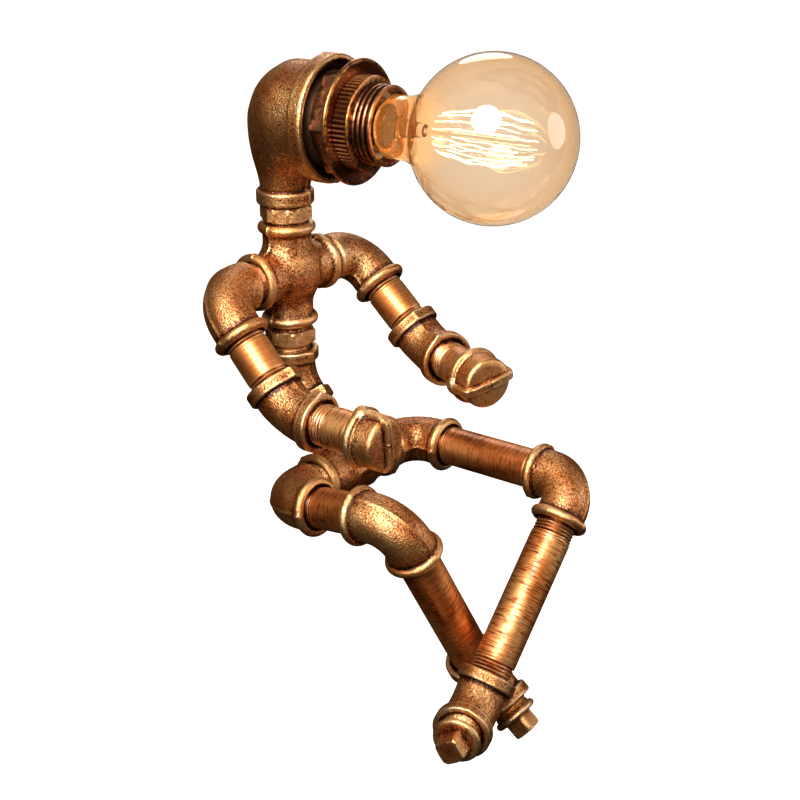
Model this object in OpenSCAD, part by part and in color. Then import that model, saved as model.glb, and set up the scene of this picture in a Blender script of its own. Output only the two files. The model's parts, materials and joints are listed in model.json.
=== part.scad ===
// Seated figure desk lamp, screwed together from half-inch malleable iron pipe fittings.
// A globe bulb in a threaded lampholder is the head. +Z is up, the figure faces -Y,
// its left side is +X, and the origin is where the pelvis rests on the edge of a shelf.

/* [Half-inch threads and pipe] */
// Outer diameter of the plain pipe
pipe_d = 21.3; // [21.2:0.1:22]
// Bore of pipes and nipples
pipe_bore_d = 15.5; // [12:0.5:17]
// Major diameter of the male threads
thread_d = 20.9; // [20.5:0.1:21.1]
// Radial clearance of a male thread in its socket
thread_gap = 0.05; // [0.02:0.01:0.09]
// Length of male thread that is screwed into a fitting
engagement = 10.5; // [8:0.5:11]
// Depth of a threaded socket
socket_depth = 11.5; // [11.2:0.1:12]

/* [Fittings] */
// Outer diameter of the cast bodies
body_d = 25.6; // [25:0.1:27]
// Outer diameter of the rolled beads
bead_d = 30.4; // [29:0.1:33]
// Width of a rolled bead
bead_w = 5.4; // [4:0.1:6]
// Width of the bevel at the mouth of a socket
mouth_bevel = 1; // [0.6:0.1:1.4]
// Outer diameter of the flat bands on the 45 degree elbows
band_d = 30; // [29:0.1:33]
// Width of a flat band
band_w = 6.4; // [4:0.1:7]
// Height of the lugs where a band crosses the casting's parting line
lug_h = 1.2; // [0.8:0.1:1.6]
// Bore of the passage inside the castings
passage_d = 15; // [12:0.5:17]
// Centre to face of the 90 degree elbows
elbow_a = 25.2; // [25:0.1:30]
// Bend radius of the 90 degree elbows
elbow_bend_r = 17; // [15:0.5:18]
// Centre to female face of the street elbows
street_a = 27.3; // [26:0.1:30]
// Centre of a street elbow to the fitting that it is screwed into
street_reach = 25.6; // [23:0.1:30]
// Centre to face of the 45 degree elbows
angle_a = 19.3; // [19:0.1:24]
// Centre to face of the chest cross
cross_a = 27.6; // [27:0.1:32]
// Centre to face of the pelvis tee
tee_a = 28; // [27:0.1:32]

/* [Spine] */
// Gap between the pelvis tee and the waist elbow
pelvis_gap = 9.7; // [6:0.1:16]
// Gap between the waist elbow and the chest cross
waist_gap = 14.3; // [12:0.1:20]
// Gap between the chest cross and the head elbow
neck_gap = 10.4; // [9:0.1:18]
// Width across flats of the hex nipples
hex_af = 24.4; // [22:0.1:27]
// Height of the hexagon on the nipples
hex_h = 8; // [5:0.5:8.5]

/* [Head] */
// Turn of the head to the figure's left, in degrees
head_turn = 5.5; // [-10:0.5:10]
// Height of the bulb's axis above the small end of the head elbow
head_rise = 46.2; // [44:0.1:54]
// Length from the neck's axis to the large face of the head elbow
head_reach = 35; // [33:0.5:42]
// Wall between the large thread and the outside of the head elbow
head_wall = 3.8; // [3.2:0.1:5]
// Height of the large bead above the body
head_bead_h = 4.3; // [3:0.1:6]
// Width of the large bead
head_bead_w = 9; // [6:0.5:12]
// Diameter of the head elbow's throat above the neck
throat_d = 35; // [32:0.5:38]
// Distance of the throat's middle below the bulb's axis
throat_drop = 13; // [10:0.5:16]
// Width of the flat band at the small end of the head elbow
neck_band_w = 7; // [5:0.1:8]
// Distance from the neck's axis to the middle of the elbow's round back
head_back = 13.8; // [10:0.1:16]
// Wall of the bushing between its two threads
bushing_wall = 4.1; // [3.4:0.1:4.4]
// Length of the thread in the large end
big_thread_l = 15; // [12:0.5:16]
// Height of the bushing's flats above its outer thread
bushing_lip = 0.1; // [0:0.1:2]
// Thickness of the bushing's hexagon
bushing_hex_h = 10.5; // [8:0.5:12]

/* [Lampholder] */
// Wall of the ceramic core round the bulb's base
core_wall = 3.5; // [3.2:0.1:3.7]
// Radial clearance of the core in the holder
core_gap = 0.3; // [0.2:0.05:0.5]
// Wall thickness of the holder under its rope thread
holder_wall = 1.6; // [1.2:0.1:2]
// Length of the holder that stands out of the bushing
holder_out = 20.8; // [20:0.1:30]
// Depth of the holder inside the bushing
holder_in = 14; // [12:0.5:16]
// Height of the holder's rope thread
rope_h = 0.8; // [0.6:0.1:1]
// Distance between two turns of the rope thread
rope_pitch = 2.8; // [2.4:0.1:3.2]
// Width of the shade ring's flange outside the collar
flange_w = 7.6; // [5:0.1:10]
// Thickness of the flange at its rim
ring_t = 2.6; // [2:0.1:4]
// Wall of the ring's ribbed collar, with the ribs
collar_wall = 3.6; // [2.6:0.1:5]
// Length of the whole shade ring
ring_l = 10.4; // [9:0.1:13]
// Number of ribs round the collar
ribs = 60; // [36:1:72]
// Height of a rib
rib_h = 0.9; // [0.5:0.1:1.2]

/* [Bulb] */
// Diameter of the glass globe
globe_d = 80; // [76:0.5:84]
// Length from the middle of the globe to the top of the screw base
globe_reach = 58.9; // [57:0.1:62]
// Wall thickness of the glass
glass_t = 0.8; // [0.6:0.1:1.5]
// Diameter of the glass neck in the holder's mouth
glass_neck_d = 31; // [29:0.1:32]
// Radius of the flare between the neck and the globe
flare_r = 22; // [18:0.5:26]
// Outer diameter of the screw base
base_d = 26.4; // [26:0.1:27]
// Length of the screw base without its tip
base_l = 23; // [21:0.5:24]
// Depth of the base's top edge inside the holder's mouth
base_sunk = 2.3; // [1:0.1:4]
// Radial clearance of the base in the holder's core
base_gap = 0.4; // [0.2:0.05:0.6]
// Number of filament strands
strands = 14; // [8:1:20]
// Diameter of a filament strand
strand_d = 0.5; // [0.4:0.1:0.8]
// Distance from the screw base to the filament cage
cage_from = 31; // [26:0.5:34]
// Length of the filament cage along the bulb's axis
cage_l = 46; // [36:1:50]
// Diameter of the filament cage at its waist
cage_d = 26; // [20:1:32]

/* [Arms] */
// Free length of the upper arm pipes
upper_arm_l = 25; // [20:0.5:40]
// Free length of the forearm nipples
forearm_l = 23; // [18:0.5:40]
// Forward swing of the right upper arm, in degrees
right_arm_swing = 44; // [40:0.5:50]
// Forward swing of the left upper arm, in degrees
left_arm_swing = 49; // [44:0.5:54]
// Inward turn of the right forearm, in degrees
right_forearm_turn = 3; // [0:0.5:8]
// Inward turn of the left forearm, in degrees
left_forearm_turn = 31; // [24:0.5:34]
// Length of a hand cap
cap_l = 17; // [16:0.1:20]
// Outer diameter of a hand cap's body
cap_d = 27; // [26:0.1:28]
// Thickness of the closed end of a hand cap
cap_end_t = 3.5; // [2.5:0.1:4.5]
// Width of the rib that runs round a hand cap
cap_rib_w = 4.4; // [3:0.1:6]
// Height of that rib above the body
cap_rib_h = 2.1; // [1.9:0.1:2.6]

/* [Legs] */
// Rise of the right thigh above level, in degrees
right_thigh_rise = 8.3; // [6:0.1:10]
// Rise of the left thigh above level, in degrees
left_thigh_rise = 1.4; // [0:0.1:2]
// Free length of the right thigh nipple
right_thigh_l = 24.3; // [22:0.1:25]
// Free length of the left thigh pipe
left_thigh_l = 57.3; // [57:0.1:62]
// Inward lean of the right shin, in degrees
right_shin_lean = 26; // [24:0.5:28]
// Inward lean of the left shin, in degrees
left_shin_lean = 45; // [44:0.5:47]
// Free length of the right shin pipe
right_shin_l = 77.5; // [74:0.5:79]
// Free length of the left shin pipe
left_shin_l = 85; // [84:0.5:92]
// Turn of the right foot about its shin, in degrees
right_foot_turn = -21; // [-26:1:-16]
// Turn of the left foot about its shin, in degrees
left_foot_turn = 65; // [55:1:70]
// Diameter of a foot plug's flange
plug_flange_d = 24.6; // [23:0.1:27]
// Thickness of a foot plug's flange
plug_flange_t = 3.8; // [3:0.1:5]
// Length of the plug's thread that stays in view
plug_gap = 3.6; // [2:0.1:5]
// Width across flats of a plug's square head
plug_sq = 12.4; // [10:0.1:14]
// Length of a plug's square head
plug_sq_l = 9; // [7:0.1:12]

/* [Wiring] */
// Diameter of the lead inside the pipes
lead_d = 6; // [5:0.1:6.5]
// Diameter of the hole that the supply lead enters by
inlet_d = 6.6; // [6.6:0.1:7]
// Outer diameter of the inlet bush inside the casting's wall
bush_d = 9; // [8.5:0.1:10]
// Outer diameter of the bush's collar
bush_collar_d = 12; // [11:0.1:13]
// Thickness of the collar
bush_collar_t = 1.8; // [1.4:0.1:2]
// Length of the whole bush
bush_l = 8; // [7.6:0.1:8.4]

/* [Hidden] */
$fn = 96;
eps = 0.5;

RIGHT = -1;
LEFT = 1;
bronze = "#8a5a2b";
dark_bronze = "#5d3a1c";
bright_bronze = "#b98a4a";

// Each round part of the head is sized round the one that it holds, from the bulb's base out
core_bore_r = base_d / 2 + base_gap;
core_d = 2 * (core_bore_r + core_wall);
holder_bore_d = core_d + 2 * core_gap;
holder_d = holder_bore_d + 2 * holder_wall + 2 * rope_h;
big_thread_d = holder_d + 2 * bushing_wall;
bushing_af = big_thread_d + 2 * bushing_lip;
head_body_d = big_thread_d + 2 * head_wall;
head_bead_d = head_body_d + 2 * head_bead_h;
collar_d = holder_d + 2 * collar_wall;
ring_d = collar_d + 2 * flange_w;

thread_r = thread_d / 2;
socket_r = thread_r + thread_gap;
body_r = body_d / 2;
passage_r = passage_d / 2;
// The 45 degree bend ends under the bands
angle_bend_r = (angle_a - band_w + 1) / tan(22.5);

// Places of the joints between the fittings
spine_angle = 45;
pelvis_z = bead_d / 2;
pelvis_to_waist = tee_a + pelvis_gap + angle_a;
waist_to_chest = angle_a + waist_gap + cross_a;
chest_y = pelvis_to_waist * sin(spine_angle);
chest_z = pelvis_z + pelvis_to_waist * cos(spine_angle) + waist_to_chest;
neck_to_head = cross_a + neck_gap + head_rise;
head_z = chest_z + neck_to_head;
shoulder_x = cross_a + street_reach;
hip_x = tee_a + street_reach;

// The bush's collar sits just clear of the round casting
bush_from = body_r + 0.2 + bush_collar_t - bush_l;

// The throat's back is level with the elbow's round back
throat_forward = throat_d / 2 + head_back - head_body_d / 2;

// Places along the bulb's axis, measured from the neck's axis
bushing_gap = 0.6;
bushing_face = head_reach + bushing_hex_h + bushing_gap;
holder_face = bushing_face + holder_out;
holder_back = bushing_face - holder_in;
base_top = holder_face - base_sunk;
globe_at = base_top + globe_reach;
globe_r = globe_d / 2;
tip_h = 3.2;
core_floor = base_top - base_l - tip_h - 1.4;
base_bore_r = base_d / 2 - 1.5;
// The glass is drawn in to fit into the screw base
glass_seat_r = base_bore_r - 0.1;

// ---------- frames ----------
module at_pelvis() translate([0, 0, pelvis_z]) children();

module at_spine() at_pelvis() rotate([-spine_angle, 0, 0]) children();

module at_waist() at_spine() translate([0, 0, pelvis_to_waist]) children();

module at_chest() translate([0, chest_y, chest_z]) children();

module at_bulb_axis() translate([0, chest_y, head_z]) rotate([90, 0, head_turn]) children();

module at_shoulder(side, swing)
    at_chest() translate([side * shoulder_x, 0, 0]) rotate([-swing, 0, 0]) children();

module at_forearm(side, swing, turn)
    at_shoulder(side, swing) translate([0, 0, -(street_a + upper_arm_l + angle_a)])
        rotate([0, 0, 180 - side * turn]) rotate([-135, 0, 0]) children();

module at_hip(side, rise)
    at_pelvis() translate([side * hip_x, 0, 0]) rotate([-(90 + rise), 0, 0]) children();

module at_knee(side, rise, thigh_l, lean)
    at_hip(side, rise) translate([0, 0, -(street_a + thigh_l + elbow_a)])
        rotate([0, 0, side * lean]) children();

module at_ankle(side, rise, thigh_l, lean, shin_l, turn)
    at_knee(side, rise, thigh_l, lean) rotate([-90, 0, 0])
        translate([0, 0, elbow_a + shin_l + angle_a]) rotate([0, 0, side * turn]) children();

// ---------- parts of a fitting ----------
// Ring with a round edge whose face is the plane z = 0
module rolled_bead(d, w, inner_r)
    rotate_extrude() {
        translate([inner_r, -w]) square([d / 2 - w / 2 - inner_r, w]);
        translate([d / 2 - w / 2, -w / 2]) circle(w / 2);
    }

// Flat ring with small bevels whose face is the plane z = 0
module flat_band(d, w, inner_r, bevel = 0.9)
    rotate_extrude()
        polygon([
            [inner_r, 0], [d / 2 - bevel, 0], [d / 2, -bevel],
            [d / 2, bevel - w], [d / 2 - bevel, -w], [inner_r, -w]
        ]);

// Lugs on both sides of a flat band, where the casting's parting line crosses it
module band_lugs(d, w, turn = 0) {
    lug_r = 2.6;
    for (side = [turn, turn + 180]) rotate([0, 0, side])
        translate([0, d / 2 + lug_h - lug_r, 0.4 - w]) cylinder(h = w - 0.8, r = lug_r);
}

// Straight female arm along +Z, from a height to its face
module female_arm(from_z, face_z, banded = false) {
    translate([0, 0, from_z]) cylinder(h = face_z - from_z, r = body_r);
    translate([0, 0, face_z])
        if (banded) flat_band(band_d, band_w, passage_r + 1);
        else rolled_bead(bead_d, bead_w, passage_r + 1);
}

// Threaded socket with a bevelled mouth
module female_bore(face_z)
    translate([0, 0, face_z]) {
        translate([0, 0, -socket_depth]) cylinder(h = socket_depth + eps, r = socket_r);
        translate([0, 0, -mouth_bevel])
            cylinder(h = mouth_bevel + eps, r1 = socket_r, r2 = socket_r + mouth_bevel + eps);
    }

// Bend in the YZ plane from +Z round to the second arm
module bend(angle, bend_r, r)
    translate([0, bend_r, bend_r * tan(angle / 2)]) rotate([90, 0, 90])
        rotate([0, 0, 180]) rotate_extrude(angle = angle) translate([bend_r, 0]) circle(r);

// Elbow with one arm along +Z and the other turned over towards +Y
module elbow(angle, face_z, bend_r, banded, lugs = false) {
    tangent_z = bend_r * tan(angle / 2);
    difference() {
        union() {
            bend(angle, bend_r, body_r);
            for (tip = [0, angle - 180]) rotate([tip, 0, 0]) female_arm(tangent_z, face_z, banded);
            if (lugs) for (tip = [0, angle - 180]) rotate([tip, 0, 0])
                translate([0, 0, face_z]) band_lugs(band_d, band_w);
        }
        bend(angle, bend_r, passage_r);
        for (tip = [0, angle - 180]) rotate([tip, 0, 0]) female_bore(face_z);
    }
}

module right_angle_elbow() elbow(90, elbow_a, elbow_bend_r, false);

module angle_elbow(lugs = true) elbow(45, angle_a, angle_bend_r, true, lugs);

// Street elbow: male thread along +Z, female end along +Y
module street_elbow() {
    shoulder_z = street_reach - 4;
    difference() {
        union() {
            bend(90, elbow_bend_r, body_r);
            translate([0, 0, elbow_bend_r])
                cylinder(h = shoulder_z - elbow_bend_r, r = body_r);
            translate([0, 0, shoulder_z - 1])
                cylinder(h = street_reach + engagement - shoulder_z + 1, r = thread_r);
            rotate([-90, 0, 0]) female_arm(elbow_bend_r, street_a);
        }
        bend(90, elbow_bend_r, passage_r);
        translate([0, 0, elbow_bend_r - 2])
            cylinder(h = street_reach + engagement, r = pipe_bore_d / 2);
        rotate([-90, 0, 0]) female_bore(street_a);
    }
}

// Pipe along +Z with its free length between z = 0 and z = free_l
module threaded_pipe(free_l, free_d = pipe_d, grooves = 0)
    difference() {
        union() {
            translate([0, 0, -engagement]) cylinder(h = free_l + 2 * engagement, r = thread_r);
            cylinder(h = free_l, d = free_d);
        }
        translate([0, 0, -engagement - eps])
            cylinder(h = free_l + 2 * engagement + 2 * eps, d = pipe_bore_d);
        if (grooves > 0)
            for (i = [1:grooves], z = [i * 1.7, free_l - i * 1.7])
                translate([0, 0, z]) rotate_extrude()
                    translate([free_d / 2, 0]) circle(0.45);
    }

// Nipple with a hexagon in the middle of its free length
module hex_nipple(free_l)
    difference() {
        union() {
            translate([0, 0, -engagement]) cylinder(h = free_l + 2 * engagement, r = thread_r);
            translate([0, 0, (free_l - hex_h) / 2]) intersection() {
                cylinder(h = hex_h, d = hex_af / cos(30), $fn = 6);
                hex_bevel(hex_af, hex_h);
            }
        }
        translate([0, 0, -engagement - eps])
            cylinder(h = free_l + 2 * engagement + 2 * eps, d = pipe_bore_d);
    }

// Round envelope that takes the corners off a hexagon
module hex_bevel(af, h, drop = 0.8) {
    r = af / 2 + 0.2;
    corner = af / cos(30) / 2 + 0.2;
    rotate_extrude()
        polygon([[0, 0], [r, 0], [corner, drop], [corner, h - drop], [r, h], [0, h]]);
}

// ---------- spine ----------
module pelvis_tee()
    color(bronze) at_pelvis() difference() {
        union() {
            rotate([0, 90, 0]) translate([0, 0, -tee_a]) cylinder(h = 2 * tee_a, r = body_r);
            for (side = [RIGHT, LEFT]) rotate([0, side * 90, 0])
                translate([0, 0, tee_a]) rolled_bead(bead_d, bead_w, passage_r + 1);
            rotate([-spine_angle, 0, 0]) female_arm(0, tee_a);
        }
        rotate([0, 90, 0]) translate([0, 0, -tee_a]) cylinder(h = 2 * tee_a, r = passage_r);
        for (side = [RIGHT, LEFT]) rotate([0, side * 90, 0]) female_bore(tee_a);
        rotate([-spine_angle, 0, 0]) {
            cylinder(h = tee_a, r = passage_r);
            female_bore(tee_a);
        }
        inlet_axis() cylinder(h = body_r + eps, d = bush_d + 2 * thread_gap);
    }

// Axis of the lead's inlet, square to the spine at the back of the pelvis
module inlet_axis() rotate([-spine_angle - 90, 0, 0]) children();

module pelvis_nipple()
    color(dark_bronze) at_spine() translate([0, 0, tee_a]) threaded_pipe(pelvis_gap);

module waist_elbow() color(bronze) at_waist() rotate([180, 0, 0]) angle_elbow();

module waist_nipple()
    color(dark_bronze) at_chest() translate([0, 0, -cross_a - waist_gap]) hex_nipple(waist_gap);

module chest_cross()
    color(bronze) at_chest() difference() {
        union() {
            for (tip = [0, 90]) rotate([0, tip, 0])
                translate([0, 0, -cross_a]) cylinder(h = 2 * cross_a, r = body_r);
            for (tip = [0, 90, 180, 270]) rotate([0, tip, 0])
                translate([0, 0, cross_a]) rolled_bead(bead_d, bead_w, passage_r + 1);
        }
        for (tip = [0, 90]) rotate([0, tip, 0])
            translate([0, 0, -cross_a]) cylinder(h = 2 * cross_a, r = passage_r);
        for (tip = [0, 90, 180, 270]) rotate([0, tip, 0]) female_bore(cross_a);
    }

module neck_nipple()
    color(dark_bronze) at_chest() translate([0, 0, cross_a]) hex_nipple(neck_gap);

// ---------- head ----------
module head_elbow() {
    cavity_wall = 4;
    thread_root = 2.5;
    color(bronze) difference() {
        union() {
            at_bulb_axis() {
                translate([0, 0, head_back]) sphere(d = head_body_d);
                translate([0, 0, head_back])
                    cylinder(h = head_reach - head_back, d = head_body_d);
                translate([0, 0, head_reach])
                    rolled_bead(head_bead_d, head_bead_w, big_thread_d / 2 - 2);
            }
            translate([0, chest_y, head_z]) {
                translate([0, 0, -head_rise]) cylinder(h = head_rise, r = body_r);
                translate([0, -throat_forward, -throat_drop]) sphere(d = throat_d);
                mirror([0, 0, 1]) translate([0, 0, head_rise])
                    flat_band(band_d, neck_band_w, passage_r + 1);
                mirror([0, 0, 1]) translate([0, 0, head_rise])
                    band_lugs(band_d, neck_band_w, head_turn);
            }
        }
        at_bulb_axis() {
            translate([0, 0, head_back]) sphere(d = head_body_d - 2 * cavity_wall);
            translate([0, 0, head_back])
                cylinder(h = head_reach, d = big_thread_d - 2 * thread_root);
            translate([0, 0, head_reach - big_thread_l - 1])
                cylinder(h = big_thread_l + 2, d = big_thread_d + 2 * thread_gap);
        }
        translate([0, chest_y, head_z]) {
            translate([0, 0, -head_rise]) cylinder(h = head_rise, r = passage_r);
            mirror([0, 0, 1]) female_bore(head_rise);
        }
    }
}

module head_bushing()
    color(dark_bronze) at_bulb_axis() difference() {
        union() {
            translate([0, 0, head_reach - big_thread_l])
                cylinder(h = big_thread_l + bushing_gap + 1, d = big_thread_d);
            translate([0, 0, head_reach + bushing_gap]) intersection() {
                cylinder(h = bushing_hex_h, d = bushing_af / cos(30), $fn = 6);
                hex_bevel(bushing_af, bushing_hex_h, 1.6);
            }
        }
        translate([0, 0, head_reach - big_thread_l - eps])
            cylinder(h = big_thread_l + bushing_hex_h + 2, d = holder_d + 2 * thread_gap);
    }

// Lampholder shell: a rope thread outside, open at both ends
module holder_shell() {
    rope_r = 0.9;
    lip_h = 3;
    color(dark_bronze) at_bulb_axis() difference() {
        union() {
            translate([0, 0, holder_back])
                cylinder(h = holder_face - holder_back, d = holder_d - 2 * rope_h);
            translate([0, 0, holder_back]) cylinder(h = holder_in - 1, d = holder_d);
            translate([0, 0, holder_face - lip_h]) cylinder(h = lip_h, d = holder_d);
            for (z = [bushing_face + 1.6:rope_pitch:holder_face - lip_h - 0.5])
                translate([0, 0, z]) rotate_extrude()
                    translate([holder_d / 2 - rope_r, 0]) circle(rope_r);
        }
        translate([0, 0, holder_back - eps])
            cylinder(h = holder_face - holder_back + 2 * eps, d = holder_bore_d);
    }
}

// Ceramic core with the screw socket for the bulb's base
module holder_core()
    color("#e6ddcc") at_bulb_axis() difference() {
        translate([0, 0, holder_back + 1])
            cylinder(h = holder_face - 9 - holder_back, d = core_d);
        translate([0, 0, core_floor]) cylinder(h = base_l + 10, r = core_bore_r);
        translate([0, 0, holder_back]) cylinder(h = base_l, d = 5.6);
    }

module centre_contact()
    color("#c9a24a") at_bulb_axis() translate([0, 0, core_floor]) {
        cylinder(h = 0.8, d = 12);
        translate([0, 0, holder_back + 1 - core_floor])
            cylinder(h = core_floor - holder_back - 0.8, d = 5);
    }

// Screw ring: a dished flange behind a ribbed collar
module shade_ring() {
    back = bushing_face;
    flange_r = ring_d / 2;
    collar_r = collar_d / 2;
    color(bright_bronze) at_bulb_axis() difference() {
        union() {
            translate([0, 0, back]) rotate_extrude() {
                polygon([
                    [holder_d / 2 - 1, 0.2], [collar_r, 0.2], [flange_r - 1.3, 0.4],
                    [flange_r - 1.3, ring_t + 0.4], [collar_r, 1.8],
                    [collar_r - rib_h, 1.8], [collar_r - rib_h, ring_l - 0.5],
                    [collar_r - rib_h - 0.5, ring_l], [holder_d / 2 - 1, ring_l]
                ]);
                translate([flange_r - ring_t / 2, ring_t / 2 + 0.4]) circle(ring_t / 2);
            }
            for (i = [0:ribs - 1])
                rotate([0, 0, i * 360 / ribs]) translate([collar_r - rib_h - 0.4, -0.6, back + 1.4])
                    cube([rib_h + 0.4, 1.2, ring_l - 2.4]);
        }
        translate([0, 0, back - eps])
            cylinder(h = ring_l + 2 * eps, d = holder_d + 2 * thread_gap);
    }
}

// ---------- bulb ----------
module bulb_base()
    color("#b08d57") at_bulb_axis() {
        difference() {
            union() {
                translate([0, 0, base_top - base_l]) cylinder(h = base_l, d = base_d - 1.4);
                for (z = [base_top - base_l + 3:3.6:base_top - 5])
                    translate([0, 0, z]) rotate_extrude()
                        translate([base_d / 2 - 1, 0]) circle(1);
            }
            translate([0, 0, base_top - base_l + 1]) cylinder(h = base_l, r = base_bore_r);
        }
        translate([0, 0, base_top - base_l - tip_h])
            cylinder(h = tip_h, d1 = 9, d2 = base_d - 6.4);
    }

// Globe, flare and neck as one blown shell
module bulb_glass() {
    color([0.85, 0.55, 0.22, 0.45]) at_bulb_axis() rotate_extrude() difference() {
        bulb_outline(0);
        bulb_outline(glass_t);
    }
}

// Half outline of the bulb, drawn in by a wall's thickness for the inside
module bulb_outline(wall) {
    r = globe_r - wall;
    neck_r = glass_neck_d / 2 - wall;
    seat_r = glass_seat_r - wall;
    flare = flare_r + wall;
    // The flare's circle touches the neck's wall and the globe
    flare_x = neck_r + flare;
    flare_z = globe_at - sqrt(pow(r + flare, 2) - pow(flare_x, 2));
    touch = r / (r + flare);
    difference() {
        union() {
            translate([0, globe_at]) intersection() {
                circle(r);
                translate([0, -r]) square([r, 2 * r]);
            }
            polygon([
                [0, base_top - 2 + wall], [seat_r, base_top - 2 + wall], [seat_r, base_top + 0.3],
                [neck_r, base_top + 3.5], [neck_r, flare_z], [flare_x, flare_z],
                [flare_x * touch, globe_at - (globe_at - flare_z) * touch], [0, globe_at]
            ]);
        }
        intersection() {
            translate([flare_x, flare_z]) circle(flare);
            translate([neck_r, flare_z]) square([flare, globe_at]);
        }
    }
}

// Pressed stem that closes the neck, with the rod that carries the cage
module bulb_stem() {
    stem_l = 21;
    rod_d = 2.4;
    color([0.9, 0.8, 0.6, 0.5]) at_bulb_axis() {
        translate([0, 0, base_top - 1]) cylinder(h = 1.4, r = glass_seat_r - glass_t - 0.05);
        translate([0, 0, base_top]) cylinder(h = stem_l, d1 = base_d / 2, d2 = 6);
        translate([0, 0, base_top + stem_l - 1])
            cylinder(h = cage_from + cage_l + 1.8 - stem_l, d = rod_d);
    }
}

// Strands run to and fro between a lower and an upper ring of supports
module bulb_filament() {
    low = base_top + cage_from;
    color("#ffd98a") at_bulb_axis() {
        for (i = [0:strands - 1])
            rotate([0, 0, (i + 0.5) * 360 / strands]) translate([cage_d / 2, 0, low])
                cylinder(h = cage_l, d = strand_d, $fn = 16);
        for (z = [low, low + cage_l]) translate([0, 0, z]) {
            rotate_extrude() translate([cage_d / 2, 0]) circle(strand_d * 0.6, $fn = 16);
            for (i = [0:3]) rotate([0, 0, i * 90])
                translate([1.25, 0, 0]) rotate([0, 90, 0])
                    cylinder(h = cage_d / 2 - 1.25, d = strand_d, $fn = 16);
        }
    }
}

// ---------- arms ----------
module shoulder_elbow(side, swing)
    color(bronze) at_shoulder(side, swing) rotate([-90, 0, side * 90]) street_elbow();

module upper_arm(side, swing)
    color(bright_bronze) at_shoulder(side, swing)
        translate([0, 0, -(street_a + upper_arm_l)]) threaded_pipe(upper_arm_l, grooves = 2);

module arm_elbow(side, swing, turn)
    color(bronze) at_forearm(side, swing, turn)
        rotate([135, 0, 0]) angle_elbow();

module forearm(side, swing, turn)
    color(bright_bronze) at_forearm(side, swing, turn)
        translate([0, 0, angle_a]) threaded_pipe(forearm_l);

module hand_cap(side, swing, turn)
    color(bronze) at_forearm(side, swing, turn)
        translate([0, 0, angle_a + forearm_l]) pipe_cap();

// Cap whose open face is the plane z = 0, with a rib over its parting line
module pipe_cap() {
    edge = 1.6;
    difference() {
        union() {
            rotate_extrude() polygon([
                [0, 0], [cap_d / 2, 0], [cap_d / 2, cap_l - edge],
                [cap_d / 2 - edge * 0.3, cap_l - edge * 0.3], [cap_d / 2 - edge, cap_l], [0, cap_l]
            ]);
            mirror([0, 0, 1]) rolled_bead(bead_d, bead_w, passage_r + 1);
            rotate([90, 0, 0]) translate([0, 0, -cap_rib_w / 2]) linear_extrude(cap_rib_w)
                cap_rib_outline();
        }
        translate([0, 0, -eps]) cylinder(h = socket_depth + eps, r = socket_r);
        translate([0, 0, socket_depth - 1]) cylinder(h = cap_l - cap_end_t - socket_depth + 1,
            r = thread_r - 1.2);
    }
}

// Flat outline of the rib, with its two far corners cut off
module cap_rib_outline() {
    out_x = cap_d / 2 + cap_rib_h;
    top_z = cap_l + cap_rib_h;
    cut = 4;
    polygon([
        [-out_x, bead_w / 2], [out_x, bead_w / 2], [out_x, top_z - cut], [out_x - cut, top_z],
        [cut - out_x, top_z], [-out_x, top_z - cut]
    ]);
}

// ---------- legs ----------
module hip_elbow(side, rise)
    color(bronze) at_hip(side, rise) rotate([-90, 0, side * 90]) street_elbow();

module thigh(side, rise, thigh_l)
    color(bright_bronze) at_hip(side, rise)
        translate([0, 0, -(street_a + thigh_l)]) threaded_pipe(thigh_l);

module knee_elbow(side, rise, thigh_l, lean)
    color(bronze) at_knee(side, rise, thigh_l, lean) right_angle_elbow();

module shin(side, rise, thigh_l, lean, shin_l)
    color(bright_bronze) at_knee(side, rise, thigh_l, lean) rotate([-90, 0, 0])
        translate([0, 0, elbow_a]) threaded_pipe(shin_l);

module ankle_elbow(side, rise, thigh_l, lean, shin_l, turn)
    color(bronze) at_ankle(side, rise, thigh_l, lean, shin_l, turn)
        rotate([180, 0, 180]) angle_elbow(lugs = false);

module foot_plug(side, rise, thigh_l, lean, shin_l, turn)
    color(dark_bronze) at_ankle(side, rise, thigh_l, lean, shin_l, turn) rotate([-45, 0, 0])
        translate([0, 0, angle_a]) square_plug();

// Plug whose thread starts in the fitting below z = 0
module square_plug() {
    flange_z = plug_gap;
    difference() {
        union() {
            translate([0, 0, -engagement + 1]) cylinder(h = engagement + plug_gap, r = thread_r);
            translate([0, 0, flange_z + plug_flange_t])
                rolled_bead(plug_flange_d, plug_flange_t, plug_sq / 4);
            translate([0, 0, flange_z]) cylinder(h = plug_flange_t, d = plug_sq);
            translate([-plug_sq / 2, -plug_sq / 2, flange_z + 1])
                cube([plug_sq, plug_sq, plug_flange_t + plug_sq_l - 1]);
        }
        translate([0, 0, -engagement]) cylinder(h = engagement + 2, d = 12);
    }
}

// ---------- wiring ----------
module inlet_bush()
    color("#1c1a18") at_pelvis() inlet_axis() difference() {
        union() {
            translate([0, 0, bush_from]) cylinder(h = bush_l - bush_collar_t, d = bush_d);
            translate([0, 0, bush_from + bush_l])
                rolled_bead(bush_collar_d, bush_collar_t, inlet_d / 2 - 1);
        }
        translate([0, 0, bush_from - eps]) cylinder(h = bush_l + 2 * eps, d = inlet_d);
    }

// Lead from the inlet up the spine to the neck
module body_lead()
    color("#2a2622") {
        at_spine() cylinder(h = pelvis_to_waist, d = lead_d);
        at_waist() sphere(d = lead_d + eps);
        at_chest() translate([0, 0, -waist_to_chest])
            cylinder(h = waist_to_chest + cross_a + neck_gap + 4, d = lead_d);
    }

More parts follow.
